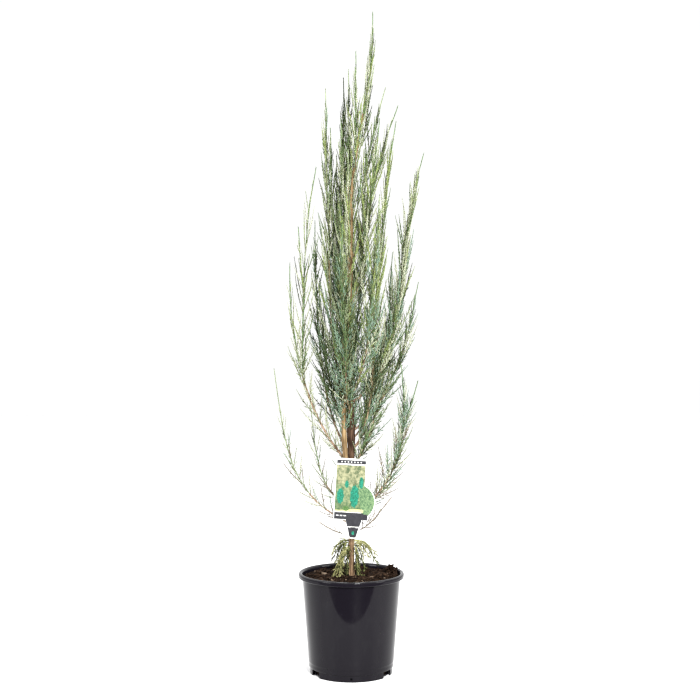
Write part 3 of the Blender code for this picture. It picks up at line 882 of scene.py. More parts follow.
@dataclass
class Bough:
    """A limb's paths: the whole limb, its mass's stems and what its foliage grows on."""

    limb: Limb
    whole: Path
    stems: list[Path]
    leafy: list[Path]

    @staticmethod
    def of(limb: Limb, whole: Path) -> "Bough":
        """Works out a limb's stems and what its foliage grows on.

        Args:
            limb: The limb.
            whole: Its path from the trunk to its tip.

        Returns:
            Its paths.
        """
        stems = limb.stems(whole)
        first = max(CLEAR_OF_TRUNK, limb.clad * limb.bare)
        return Bough(limb, whole, stems, [whole.part(first, whole.length), *stems[1:]])


# name, foot, azimuth, top, bulge, rise, lean and flick, then what sets the limb apart
LIMBS = (
    spiky(
        "low_left", 0.287, 183, 0.579, 0.103, 0.056, 0.11, bare=0.085, radius=0.0022, tip=0.085,
        dusty=0.40, bleached=0.30, crowd=0.85,
    ),
    spiky(
        "low_left_inner", 0.318, 158, 0.513, 0.049, 0.028, 0.13, bare=0.050, radius=0.0020, tip=0.05,
        dusty=0.30, bleached=0.28, crowd=0.85,
    ),
    airy(
        "left_main", 0.403, 187, 0.777, 0.197, 0.200, -0.165, bare=0.135, radius=0.0030, fresh=0.20,
        bleached=0.42, crowd=0.92, close_from=0.67,
        forks=(
            Fork(0.560, 187, 0.957, flick=-0.026),
            Fork(0.700, 187, 0.844, lean=0.07, stem=1),
        ),
    ),
    whip(
        "left_inner", 0.498, 190, 1.102, 0.030, 0.120, 0.012, radius=0.0030, fresh=0.15,
        close_from=0.76,
    ),
    Limb(
        "second_stem", 0.372, 225, 1.045, 0.005, 0.020, 0.018, bare=0.145, radius=0.0044,
        clad=0.62, stout=1.28, golden=True, blue=0.42,
    ),
    whip(
        "right_whip", 0.430, 340, 1.038, 0.030, 0.050, 0.03, 0.030, bare=0.050, radius=0.0030,
        fresh=0.72, close_from=0.72, crowd=1.15,
    ),
    whip("right_upper", 0.790, 12, 1.076, 0.002, 0.010, 0.25, 0.010, radius=0.0022),
    whip(
        "right_main", 0.515, 2, 0.985, 0.088, 0.075, 0.0, 0.042, bare=0.070, radius=0.0032,
        fresh=0.18, bleached=0.18, blue=0.15, crowd=2.1, close_from=0.80,
    ),
    open_limb(
        "right_outer", 0.462, 12, 0.741, 0.100, 0.090, 0.05, 0.012, bare=0.080, radius=0.0026,
        crowd=1.15,
    ),
    bushy(
        "low_right", 0.304, 1, 0.590, 0.146, 0.095, -0.20, bare=0.105, radius=0.0028, dusty=0.22,
        bleached=0.12,
        forks=(Fork(0.452, 345, 0.556, lean=0.30),),
    ),
    bushy("right_small", 0.390, 322, 0.500, 0.0, 0.05, 0.36, 0.024, bare=0.035, radius=0.0018),
    open_limb("right_low_inner", 0.448, 28, 0.690, 0.042, 0.060, 0.10, bare=0.025, radius=0.0022),
    Limb(
        "left_low_inner", 0.470, 160, 0.740, 0.040, 0.070, 0.06, radius=0.0022, dark=0.12,
        blue=0.15,
    ),
    Limb("front_left", 0.500, 260, 0.850, 0.066, 0.075, 0.03, radius=0.0024, blue=0.25),
    Limb(
        "front_right", 0.530, 303, 0.900, 0.066, 0.080, 0.04, 0.010, radius=0.0024, fresh=0.16,
        blue=0.15,
    ),
    open_limb(
        "back_left", 0.420, 132, 0.860, 0.086, 0.090, 0.02, bare=0.090, radius=0.0030, dark=0.12,
        clad=0.70, crowd=0.75,
    ),
    open_limb("back", 0.450, 90, 0.920, 0.086, 0.080, 0.02, 0.015, bare=0.080, radius=0.0030),
    open_limb(
        "back_right", 0.395, 50, 0.800, 0.094, 0.090, 0.03, 0.010, bare=0.100, radius=0.0030, dark=0.2
    ),
    spiky("low_back", 0.300, 98, 0.600, 0.104, 0.065, 0.05, bare=0.095, radius=0.0024),
    Limb("upper_1", 0.560, 118, 0.985, 0.032, 0.080, 0.02, radius=0.0022, dark=0.35),
    Limb("upper_2", 0.590, 60, 1.000, 0.036, 0.080, 0.03, 0.010, radius=0.0022),
    Limb(
        "upper_3", 0.625, 270, 0.985, 0.030, 0.070, 0.02, radius=0.0022, fresh=0.50, wood_to=0.0010,
        leafy_end=0.05, stout=0.55,
    ),
    Limb("upper_4", 0.660, 172, 1.030, 0.018, 0.070, 0.02, radius=0.0020, dark=0.45),
    Limb("upper_5", 0.700, 322, 1.043, 0.030, 0.070, 0.06, 0.012, radius=0.0020, fresh=0.30),
    Limb("upper_6", 0.760, 95, 1.075, 0.026, 0.060, 0.03, radius=0.0019),
    whip("upper_7", 0.850, 205, 1.124, 0.007, 0.040, 0.004, radius=0.0018, dark=0.8),
    whip("upper_8", 0.870, 348, 1.103, 0.006, 0.020, 0.18, 0.010, radius=0.0018),
    whip("upper_9", 0.930, 112, 1.142, 0.010, 0.030, 0.02, radius=0.0016),
    whip("upper_10", 0.985, 22, 1.150, 0.004, 0.010, 0.15, radius=0.0014),
    whip("upper_11", 0.960, 276, 1.170, 0.008, 0.030, 0.02, radius=0.0015, fresh=0.3),
    spiky("low_twig_right", 0.268, 356, 0.335, 0.016, 0.010, 0.75, radius=0.0014, dusty=0.75),
    spiky("low_twig_left", 0.262, 196, 0.290, 0.022, 0.010, 1.2, radius=0.0013, dusty=0.85),
)

LEADER = whip("leader_tip", 1.055, 0, 1.247, 0.019, 0.070, radius=0.0017, fresh=0.35)
TRUNK_TWIGS = Limb("trunk_twigs", 0.452, 0, 1.055, 0.0, 1.0, fresh=0.28, leafy_end=0.18)


# Trunk and boughs


BARKS = (
    BarkFinish("trunk_bark", (0.011, 0.006, 0.003), (0.056, 0.032, 0.018), (0.170, 0.106, 0.060)),
    BarkFinish("dark_bark", (0.007, 0.0035, 0.002), (0.036, 0.019, 0.011), (0.120, 0.070, 0.042)),
    BarkFinish("golden_bark", (0.028, 0.016, 0.007), (0.130, 0.082, 0.037), (0.320, 0.220, 0.112)),
    BarkFinish("bough_bark", (0.030, 0.018, 0.011), (0.150, 0.095, 0.060), (0.370, 0.260, 0.180)),
    BarkFinish("young_bark", (0.042, 0.028, 0.014), (0.160, 0.112, 0.062), (0.350, 0.262, 0.165)),
)


@dataclass
class Woodwork:
    """The trunk, the bare boughs and the stems inside the masses, with bark relief."""

    trunk: Trunk
    trunk_sides: int = 22
    bough_sides: int = 12
    stem_sides: int = 6
    bough_step: float = 0.004
    stem_step: float = 0.007
    bough_over: float = 0.012  # a bough runs on this far inside its mass
    least_stem: float = 0.02  # shorter stretches of wood inside a mass are left out
    collar_length: float = 0.006  # a collar fades over this length
    strips: Pair = (2.6, 28.0)  # the bark's strips: lumps round a stem, lumps to the metre
    knots: float = 75.0  # its knots: lumps to the metre
    strip_weight: float = 1.5
    knot_weight: float = 0.7
    young_from: float = 0.66  # above this height the trunk's bark is young
    dark_between: Pair = (0.39, 0.53)  # heights of the trunk's dark bark

    def sweep(
        self, bm: BMesh, path: Path, sides: int, relief: float, seed: float, collar: float = 0.0
    ) -> None:
        """Extrudes a ring along a path, then gives it relief.

        Args:
            bm: Takes the new faces.
            path: The axis and its radii.
            sides: Corners of the ring.
            relief: How far ridges stand out, as a share of the radius.
            seed: Shifts the relief's pattern.
            collar: How much wider the root is, as a share of the radius.
        """
        up = Vector(UP)
        frames, turn = [], up.rotation_difference(Vector(path.tangent(0.0)))
        for point, radius, s in zip(path.points, path.radii, path.marks):
            turn = (turn @ up).rotation_difference(Vector(path.tangent(s))) @ turn
            wide = Matrix.Scale(radius * (1 + collar * math.exp(-s / self.collar_length)), 4)
            frames.append(Matrix.Translation(point) @ turn.to_matrix().to_4x4() @ wide)
        made = bmesh.ops.create_circle(
            bm, cap_ends=True, segments=sides, radius=1.0, matrix=frames[0]
        )
        ring = made["verts"]
        edges = list({edge for vertex in ring for edge in vertex.link_edges})
        rings = [ring]
        for last, frame in zip(frames, frames[1:]):
            grown = bmesh.ops.extrude_edge_only(bm, edges=edges)["geom"]
            ring = [part for part in grown if isinstance(part, bmesh.types.BMVert)]
            held = set(ring)
            edges = [
                part for part in grown
                if isinstance(part, bmesh.types.BMEdge) and held.issuperset(part.verts)
            ]
            bmesh.ops.transform(bm, matrix=frame @ last.inverted(), verts=ring)
            rings.append(ring)
        bmesh.ops.edgeloop_fill(bm, edges=edges)
        for ring, frame, s in zip(rings, frames, path.marks):
            for vertex in ring:
                self.raise_bark(vertex, frame, s, relief, seed)

    def raise_bark(
        self, vertex: bmesh.types.BMVert, frame: Matrix, s: float, relief: float, seed: float
    ) -> None:
        """Moves a vertex out or in by the bark's strips and knots.

        Args:
            vertex: One corner of a ring.
            frame: The ring's frame, whose scale is its radius.
            s: The ring's arc length.
            relief: How far ridges stand out, as a share of the radius.
            seed: Shifts the pattern.
        """
        local = frame.inverted() @ vertex.co
        around, upwards = self.strips
        strip = noise.noise(Vector((local.x * around + seed, local.y * around, s * upwards)))
        knot = noise.noise(Vector((local.x + seed, local.y, s * self.knots)))
        factor = 1 + relief * (self.strip_weight * strip + self.knot_weight * knot)
        local.x *= factor
        local.y *= factor
        vertex.co = frame @ local

    def finish(self, name: str, bm: BMesh, nodes: list[str], *barks: Material) -> None:
        """Makes a piece of what was swept.

        Args:
            name: The piece's name.
            bm: The swept stems.
            nodes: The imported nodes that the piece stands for.
            *barks: Its materials, in slot order.
        """
        bmesh.ops.recalc_face_normals(bm, faces=bm.faces)
        piece = from_bmesh(name, bm, *barks)
        soften(piece, degrees=60)
        settle(piece, nodes)

    def build(self, crown: list[Bough]) -> None:
        """Makes the three pieces of bark.

        Args:
            crown: The paths of every limb.
        """
        barks = {bark.name: bark.make() for bark in BARKS}
        self.build_trunk(barks["trunk_bark"], barks["golden_bark"], barks["dark_bark"])
        self.build_boughs(crown, barks["bough_bark"], barks["golden_bark"])
        self.build_stems(crown, barks["young_bark"])

    def build_trunk(self, old: Material, young: Material, dark: Material) -> None:
        """Makes the trunk.

        Args:
            old: The bark of its lower part.
            young: The bark of its upper part.
            dark: The bark of the stretch over the label.
        """
        bm = bmesh.new()
        self.sweep(bm, self.trunk.bark, self.trunk_sides, relief=0.13, seed=3.1)
        low, high = self.dark_between
        for face in bm.faces:
            z = face.calc_center_median().z
            face.material_index = 1 if z > self.young_from else 2 if low < z < high else 0
        self.finish("trunk_bark", bm, ["trunk"], old, young, dark)

    def build_boughs(self, crown: list[Bough], bark: Material, golden: Material) -> None:
        """Makes the bare boughs.

        Args:
            crown: The paths of every limb.
            bark: The bark of most boughs.
            golden: The bark of those that the limbs mark as golden.
        """
        bm, nodes = bmesh.new(), []
        for number, bough in enumerate(crown):
            limb = bough.limb
            if not limb.bare:
                continue
            nodes.append(f"bough_{limb.name}")
            wood = bough.whole.part(0, limb.bare + self.bough_over).spaced(self.bough_step)
            wood = Path(wood.points, wood.radii * limb.stout)
            others = set(bm.faces)
            self.sweep(bm, wood, self.bough_sides, relief=0.12, seed=7.7 * number, collar=0.55)
            for face in set(bm.faces) - others:
                face.material_index = int(limb.golden)
        self.finish("bough_bark", bm, nodes, bark, golden)

    def build_stems(self, crown: list[Bough], bark: Material) -> None:
        """Makes the woody part of the stems inside the masses.

        Args:
            crown: The paths of every limb.
            bark: Their bark.
        """
        bm = bmesh.new()
        for number, bough in enumerate(crown):
            limb = bough.limb
            woods = list(bough.stems)
            if not limb.bare:
                woods[0] = bough.whole
            for stem in woods:
                end = stem.green_from(limb.wood_to)
                if end > self.least_stem:
                    wood = stem.part(0, end).spaced(self.stem_step)
                    radii = np.maximum(wood.radii * min(limb.stout, 1.0), TIP_RADIUS)
                    wood = Path(wood.points, radii)
                    self.sweep(bm, wood, self.stem_sides, relief=0.08, seed=5.3 * number, collar=0.4)
        self.finish("stem_bark", bm, [f"mass_{b.limb.name}" for b in crown], bark)


# Foliage


@dataclass(frozen=True)
class Growth:
    """How a stem of one habit branches; pairs are at its foot and at its tip."""

    twig_pitch: float
    twig_length: float
    twig_share: float  # of the stem's length, at most
    twig_angle: Pair
    shoot_pitch: float
    shoot_length: Pair
    shoot_angle: Pair
    crowding: float = 1.25  # above 1, twigs crowd towards the stem's foot


# twig pitch, length, share and angle, then shoot pitch, length and angle
GROWTH = {
    Habit.DENSE: Growth(0.0053, 0.110, 0.32, (36, 8), 0.0034, (0.024, 0.0085), (41, 16)),
    Habit.WHIP: Growth(0.0062, 0.118, 0.30, (27, 6), 0.0036, (0.015, 0.0080), (30, 16)),
    Habit.OPEN: Growth(0.0052, 0.092, 0.30, (41, 10), 0.0036, (0.021, 0.0085), (40, 17)),
    Habit.SPIKY: Growth(0.0064, 0.058, 0.28, (48, 20), 0.0050, (0.017, 0.0065), (42, 22)),
    Habit.BUSHY: Growth(0.0036, 0.078, 0.40, (46, 18), 0.0033, (0.020, 0.0085), (42, 20)),
    Habit.AIRY: Growth(0.0092, 0.105, 0.34, (35, 8), 0.0043, (0.020, 0.0048), (42, 12), 1.6),
}

# the tones' shares, in the order of the tones; deep is painted shade, pale partly painted highlight
TONES = {
    Habit.DENSE: (0.26, 0.22, 0.17, 0.22, 0.02, 0.11, 0.0),
    Habit.WHIP: (0.22, 0.22, 0.23, 0.15, 0.04, 0.14, 0.0),
    Habit.OPEN: (0.26, 0.20, 0.16, 0.25, 0.01, 0.12, 0.0),
    Habit.SPIKY: (0.04, 0.12, 0.30, 0.25, 0.01, 0.28, 0.0),
    Habit.BUSHY: (0.22, 0.16, 0.17, 0.29, 0.00, 0.16, 0.0),
    Habit.AIRY: (0.02, 0.10, 0.34, 0.14, 0.04, 0.36, 0.0),
}
# the shares high up, with less of the painted shade
UPPER_TONES = (0.14, 0.22, 0.30, 0.04, 0.09, 0.21, 0.0)

FOLIAGE = {
    # near-black green, painted shade for strands inside and behind the crown
    Tone.DEEP: FoliageFinish("foliage_deep", (0.007, 0.014, 0.003), (0.027, 0.046, 0.014)),
    Tone.GREEN: FoliageFinish("foliage_green", (0.056, 0.098, 0.034), (0.140, 0.214, 0.088)),
    Tone.SAGE: FoliageFinish("foliage_sage", (0.150, 0.190, 0.104), (0.286, 0.340, 0.196)),
    Tone.GLAUCOUS: FoliageFinish("foliage_glaucous", (0.108, 0.188, 0.126), (0.236, 0.346, 0.246)),
    Tone.FRESH: FoliageFinish("foliage_fresh", (0.185, 0.250, 0.068), (0.312, 0.385, 0.140)),
    # pale straw-green, partly painted highlight on lit strands
    Tone.PALE: FoliageFinish("foliage_pale", (0.345, 0.375, 0.250), (0.575, 0.605, 0.450)),
    Tone.DUSTY: FoliageFinish("foliage_dusty", (0.110, 0.090, 0.062), (0.290, 0.240, 0.180)),
}


TWIG_BARK = BarkFinish(
    "twig_bark", (0.030, 0.032, 0.012), (0.085, 0.088, 0.038), (0.18, 0.17, 0.085)
)


@dataclass(frozen=True)
class Sprouting:
    """How twigs or shoots vary from what their rule and place give."""

    step: Pair  # where in its own step each stands, as a share
    length: Pair  # shares of the length
    angle: Pair  # shares of the angle
    curl: float  # by which each of their steps turns upwards
    wander: float  # by which each of their steps strays


TWIG = Sprouting((0.2, 0.8), (0.5, 1.15), (0.75, 1.3), 0.05, 0.035)
SHOOT = Sprouting((0.25, 0.95), (0.45, 1.15), (0.7, 1.3), 0.04, 0.03)


@dataclass
class Strands:
    """Tapering lines of one kind that are made into meshes together."""

    points: Array  # strand, point, axis
    radii: Array  # strand, point
    tones: Array  # strand
    leafy_from: Array  # share of each strand's length at which its leaves start
    heights: Array  # how far up its stem each is, from 0 to 1

    @staticmethod
    def joined(groups: "list[Strands]") -> "Strands":
        """Joins groups that have the same number of points to a strand.

        Args:
            groups: The groups.

        Returns:
            All their strands, in order.
        """
        keys = [part.name for part in fields(Strands)]
        return Strands(*(np.concatenate([getattr(g, key) for g in groups]) for key in keys))

    def of(self, chosen: Array) -> "Strands":
        """Only the strands that chosen marks."""
        return Strands(*(getattr(self, part.name)[chosen] for part in fields(self)))

    def frames(self) -> tuple[Array, Array]:
        """Finds two ways across each strand.

        Returns:
            Two unit vectors at each point, square to the strand and to each other.
        """
        along = unit(np.gradient(self.points, axis=1))
        aside = unit(np.cross(along, ASKEW))
        return aside, np.cross(along, aside)

    def cores(self) -> tuple[Array, Array]:
        """Three-sided cores, each closed at its root and pointed at its tip.

        Returns:
            The vertices and the triangles.
        """
        count, rows = self.radii.shape
        aside, across = self.frames()
        corners = []
        for k in range(3):
            angle = 2 * math.pi * k / 3
            ring = aside * math.cos(angle) + across * math.sin(angle)
            corners.append(self.points + ring * self.radii[..., None])
        body = np.stack(corners, axis=2)[:, :-1].reshape(count, -1, 3)
        verts = np.concatenate((body, self.points[:, -1:]), axis=1)
        tris = [(0, 2, 1)]
        for row in range(rows - 2):
            for k in range(3):
                a, b = 3 * row + k, 3 * row + (k + 1) % 3
                tris += [(a, b, b + 3), (a, b + 3, a + 3)]
        last = 3 * (rows - 2)
        tris += [(last + k, last + (k + 1) % 3, last + 3) for k in range(3)]
        return verts.reshape(-1, 3), repeated(np.array(tris), count, verts.shape[1])


def repeated(pattern: Array, count: int, size: int) -> Array:
    """The same triangles on one group of corners after another.

    Args:
        pattern: The triangles of the first group.
        count: How many groups there are.
        size: How many corners each has.

    Returns:
        The triangles of all groups.
    """
    starts = (np.arange(count) * size)[:, None, None]
    return (pattern[None] + starts).reshape(-1, 3)


@dataclass(frozen=True)
class ScaleLeaf:
    """The awl-shaped scale leaves, in opposite pairs that cross from pair to pair."""

    pitch: float = 0.0030
    length: float = 0.0046
    width: float = 0.0016
    keel: float = 0.00042
    lift: float = 15.0  # from its strand, in degrees
    uneven: float = 0.22
    uneven_lift: float = 0.3
    uneven_turn: float = 0.25  # by which a pair misses its quarter turn, in radians
    narrow: float = 0.28  # by which leaves are narrower at the end of a stem
    dwindle: float = 0.35  # by which leaves are smaller at the end of their strand
    widest_at: float = 0.36  # of its length
    stand_off: float = 0.00025  # from its strand's axis

    def on(self, strands: Strands, rng: Random) -> tuple[Array, Array]:
        """Leaves on the leafy part of each strand.

        Args:
            strands: The shoots.
            rng: Deals out the unevenness.

        Returns:
            The vertices and the triangles, four to a leaf.
        """
        count = len(strands.points)
        start = strands.points[:, :-1].reshape(-1, 3)
        run = (strands.points[:, 1:] - strands.points[:, :-1]).reshape(-1, 3)
        steps = np.linalg.norm(run, axis=1).reshape(count, -1)
        ends = np.cumsum(steps, axis=1)
        whole = ends[:, -1:]
        low = np.maximum(ends - steps, whole * strands.leafy_from[:, None])
        first = np.ceil(low / self.pitch).astype(int).reshape(-1)
        last = np.ceil(ends / self.pitch).astype(int).reshape(-1)
        segment, rank = dealt(np.maximum(last - first, 0))
        rank = rank + first[segment]
        strand = segment // steps.shape[1]
        s = rank * self.pitch
        share = (s - (ends - steps).reshape(-1)[segment]) / steps.reshape(-1)[segment]
        base = start[segment] + run[segment] * share[:, None]
        along = unit(run)[segment]
        aside = unit(np.cross(along, ASKEW))
        across = np.cross(along, aside)
        phase = rng.uniform(0, math.pi, count)[strand] + rank * (math.pi / 2)
        phase = phase + rng.normal(0, self.uneven_turn, phase.size)
        far = s / whole.reshape(-1)[strand]
        slim = (1 - self.narrow * strands.heights)[strand][:, None]
        verts = []
        for flip in (0.0, math.pi):
            turn = (phase + flip)[:, None]
            out = aside * np.cos(turn) + across * np.sin(turn)
            uneven = 1 + rng.uniform(-self.uneven, self.uneven, s.size)
            size = ((1 - self.dwindle * far**3) * uneven)[:, None]
            lift = np.radians(self.lift * (1 + rng.normal(0, self.uneven_lift, s.size)))[:, None]
            way = along * np.cos(lift) + out * np.sin(lift)
            wide = np.cross(along, out) * self.width / 2 * size * slim
            foot = base + out * self.stand_off
            middle = foot + way * self.length * self.widest_at * size - out * self.keel
            tip = foot + way * self.length * size
            verts.append(np.stack((foot, middle + wide, tip, middle - wide), axis=1))
        corners = np.concatenate(verts).reshape(-1, 3)
        pattern = np.array(((0, 1, 2), (0, 2, 3), (0, 3, 1), (1, 3, 2)))
        return corners, repeated(pattern, len(corners) // 4, 4)


LEAVES = {
    "twigs": ScaleLeaf(pitch=0.0026),
    "shoots": ScaleLeaf(width=0.0017),
    "whips": ScaleLeaf(pitch=0.0023, length=0.0054, width=0.0027),
}
LEAF_TRIANGLES = 4


class Room:
    """Where a mass may grow: near its own stems and clear of bare wood and the label."""

    floor: float = 0.212  # foliage keeps above this height
    inset: float = 0.0015  # and this far inside the solids' box
    overlap: float = 0.013  # how far sprays of neighbours mingle
    wood_gap: float = 0.0012  # between sprays and bare wood
    near_root: float = 0.02  # a spray may touch wood this near its own root
    point_step: float = 0.004  # between the points that are searched
    # the stem is seen bare in front: lowest and highest point, depth and half width
    wood_seen: tuple[float, ...] = (0.70, 0.93, -0.004, 0.0012)

    def __init__(
        self, own: list[Path], others: list[Path], woods: list[Path],
        label: tuple[Array, Array], reach: tuple[Array, Array],
    ) -> None:
        """Sorts the stems for quick searches.

        Args:
            own: The mass's own stems.
            others: All other stems.
            woods: The trunk and the bare boughs.
            label: The lowest and highest corner of the space before the label.
            reach: The lowest and highest corner of the solids' box.
        """
        self.own = self.sorted_points(own)[0]
        self.other = self.sorted_points(others)[0]
        self.wood, self.wood_radii = self.sorted_points(woods)
        self.label = label
        self.low, self.high = reach[0] + self.inset, reach[1] - self.inset
        self.low[2] = self.floor

    def sorted_points(self, paths: list[Path]) -> tuple[KDTree, Array]:
        """Sorts points on paths for searches.

        Args:
            paths: The paths.

        Returns:
            A tree of points, and the radius at each.
        """
        spaced = [path.spaced(self.point_step) for path in paths]
        points = np.concatenate([path.points for path in spaced])
        tree = KDTree(len(points))
        for i, point in enumerate(points):
            tree.insert(point, i)
        tree.balance()
        return tree, np.concatenate([path.radii for path in spaced])

    def holds(self, point: Array, root: Array) -> bool:
        """Tells whether a spray may reach a point.

        Args:
            point: The point.
            root: Where the spray starts.

        Returns:
            True if it may.
        """
        if not (np.all(point > self.low) and np.all(point < self.high)):
            return False
        if np.all(point > self.label[0]) and np.all(point < self.label[1]):
            return False
        low, high, depth, half_width = self.wood_seen
        if point[1] < depth and abs(point[0]) < half_width and low < point[2] < high:
            return False
        if self.own.find(point)[2] - self.other.find(point)[2] > self.overlap:
            return False
        _, index, away = self.wood.find(point)
        near = float(np.abs(point - root).sum()) < self.near_root
        return near or away > self.wood_radii[index] + self.wood_gap

    def kept(self, points: Array) -> Array:
        """How much of each strand stays inside.

        Args:
            points: Strand, point, axis.

        Returns:
            The share of each strand before its first point outside.
        """
        last = points.shape[1] - 1
        shares = np.ones(len(points))
        for i, strand in enumerate(points):
            for j in range(1, last + 1):
                if not self.holds(strand[j], strand[0]):
                    shares[i] = (j - 1) / last
                    break
        return shares


@dataclass
class Crown:
    """Twigs, shoots and leaves on every stem, grown by the rule of the solids."""

    trunk: Trunk
    label_room: tuple[Array, Array]
    reach: tuple[Array, Array]
    upturn: float = 0.30
    shoot_upturn: float = 0.6  # a shoot's upturn as a share of a twig's
    twig_points: int = 7
    shoot_points: int = 3
    whip_points: int = 40
    twig_radius: float = 0.00095
    shoot_radius: float = 0.00048
    least_twig: float = 0.007
    least_shoot: float = 0.0030
    first_twig: float = 0.003  # from the start of its stem
    over_share: float = 0.012  # by which twigs pass their share of the stem's length
    foot_fullness: Pair = (0.55, 1.8)  # of a twig's length at a stem's foot, and its gain from there
    tip_loss: float = 0.55  # by which twigs are shorter at a stem's tip
    tip_room: Pair = (0.6, 0.006)  # a twig's length for what is left of its stem, and over that
    angle_early: float = 0.8  # below 1, twigs close up early along their stem
    on_surface: float = 0.6  # of the stem's radius is where a twig starts
    stem_share: float = 0.7  # of the stem's radius is a twig's, at most
    twig_taper: float = 0.45  # a twig's tip as a share of its root
    full_twig: float = 0.05  # shorter twigs are thinner
    thin_share: float = 0.55  # down to this share
    long_twig: float = 0.03  # longer twigs have a bare foot
    bare_foot: Pair = (0.22, 0.05)  # the foot's share of a long twig and of a short one
    shoot_fullness: Pair = (0.6, 1.2)  # of a shoot's length at a twig's foot, and its gain from there
    shoot_last: float = 0.97  # of a twig's length is where its last shoot stands, at most
    shoot_close: float = 0.28  # by which shoots stand closer at a stem's end
    shoot_taper: float = 0.8  # a shoot's tip as a share of its root
    shoot_bare: float = 0.02  # the share of its foot that has no leaves
    cut_back: float = 0.5  # a shoot that has no room is cut to this share
    twig_slim: Pair = (0.30, 0.009)  # a shoot's length for what is left of its twig, and its bare tip
    end_slim: float = 0.10  # a shoot's length for what is left of its stem
    whip_share: float = 0.66  # of a stem's length is clad in leaves, at most
    whip_tip: float = 0.0035  # from its last leaf to the stem's tip
    whip_taper: float = 0.92  # a whip's radius as a share of the stem's
    whip_radius: Pair = (0.0009, 0.0012)  # least and most
    whip_green: float = 0.6  # of whips are green, and the others sage
    whip_height: float = 0.8  # how far up its stem a whip counts as being
    whip_dusty: float = 0.5  # whips are dusty on a limb with more dusty sprays than this
    spread_to: float = 0.52  # up to this height shoots are as at a stem's foot
    upper_from: float = 0.84  # from this height sprays have the upper tones
    fresh_from: float = 0.56  # sprays are yellow-green only above this height
    fresh_over: float = 0.08  # and come to their full share over this one
    fresh_split: Pair = (0.7, 0.3)  # of them are fresh and pale, and the pale is partly painted highlight
    dusty_to: float = 0.47  # sprays are dusty only below this height
    dusty_over: float = 0.12
    stray: float = 0.26  # share of shoots that are not of their spray's tone
    stray_deep: float = 0.45  # as a share of that, in sprays of the painted-shade tone
    stray_loss: float = 0.6  # by which shoots stray less at a stem's end
    lean: Pair = (0.3, 1.7)  # by which each limb favours each tone
    twigs: list[Strands] = field(default_factory=list)
    shoots: list[Strands] = field(default_factory=list)
    whips: list[Strands] = field(default_factory=list)

    def __post_init__(self) -> None:
        """Works out the paths of every limb."""
        self.boughs = [Bough.of(limb, limb.whole(self.trunk)) for limb in LIMBS]
        top = self.trunk.path.points[-1]
        line = LEADER.rising_line(top, LEADER.azimuth, LEADER)
        leader = tapered(Path(line, np.zeros(len(line))).spaced(STEM_STEP), LEADER.radius)
        leader = leader.wavering(LEADER_WAVER, LEADER.name)
        self.boughs.append(Bough(LEADER, leader, [leader], []))

    def curved(
        self, start: Array, way: Array, length: Array, count: int, sprouting: Sprouting, rng: Random
    ) -> Array:
        """Lines that leave their starts and curl upwards.

        Args:
            start: One start a row.
            way: One unit vector a row.
            length: The length of each.
            count: Points on each.
            sprouting: How they curl and stray.
            rng: Deals out the straying.

        Returns:
            Strand, point, axis.
        """
        points = [start]
        for _ in range(count - 1):
            points.append(points[-1] + way * (length / (count - 1))[:, None])
            way = unit(way + UP * sprouting.curl + rng.normal(0, sprouting.wander, way.shape))
        return np.stack(points, axis=1)

    def grow_twigs(self, limb: Limb, stem: Path, room: Room, rng: Random) -> Strands:
        """Twigs up one stem by the golden angle.

        Args:
            limb: The limb that the stem is on.
            stem: The stem.
            room: Where they may grow.
            rng: Deals out the unevenness.

        Returns:
            The twigs.
        """
        rule = GROWTH[limb.habit]
        usable = stem.length - limb.tip
        count = max(3, round(usable / rule.twig_pitch * limb.crowd))
        share = (np.arange(count) + rng.uniform(*TWIG.step, count)) / count
        share = share**rule.crowding
        s = self.first_twig + (usable - self.first_twig) * share
        longest = min(rule.twig_length, rule.twig_share * stem.length + self.over_share)
        foot, gain = self.foot_fullness
        fullness = np.minimum(1, foot + gain * share) * (1 - self.tip_loss * share)
        length = longest * fullness * rng.uniform(*TWIG.length, count)
        length = np.minimum(length, self.tip_room[0] * (usable - s) + self.tip_room[1])
        angle = between(rule.twig_angle, share**self.angle_early)
        angle = np.radians(angle * rng.uniform(*TWIG.angle, count))
        roll = rng.uniform(0, ANY_ROLL) + GOLDEN_ANGLE * np.arange(count)
        along = stem.tangent(s)
        way = turned_from(along, angle, roll, self.upturn)
        sideways = unit(way - along * (way * along).sum(axis=1, keepdims=True))
        start = stem.at(s) + sideways * (self.on_surface * stem.radius(s))[:, None]
        points = self.curved(start, way, length, self.twig_points, TWIG, rng)
        kept = room.kept(points)
        points = points[:, :1] + (points - points[:, :1]) * kept[:, None, None]
        length = length * kept
        root = np.minimum(self.twig_radius, self.stem_share * stem.radius(s))
        taper = np.linspace(1, self.twig_taper, self.twig_points)
        thinness = np.clip(length / self.full_twig, self.thin_share, 1)
        radii = root[:, None] * taper * thinness[:, None]
        leafy = np.where(length > self.long_twig, *self.bare_foot)
        tones = self.deal_tones(limb, points[:, 0, 2], rng)
        strands = Strands(points, radii, tones, leafy, share)
        return strands.of(length > self.least_twig)

    def high_up(self, limb: Limb, roots: Array, share: Array) -> Array:
        """How whip-like sprays are, from 0 to 1, by their height and place on their stem.

        Args:
            limb: The limb that they are on.
            roots: Where they start.
            share: How far up its stem each is, from 0 to 1.

        Returns:
            One number for each.
        """
        height = (roots[:, 2] - self.spread_to) / (limb.close_from - self.spread_to)
        return np.maximum(share, np.clip(height, 0, 1))

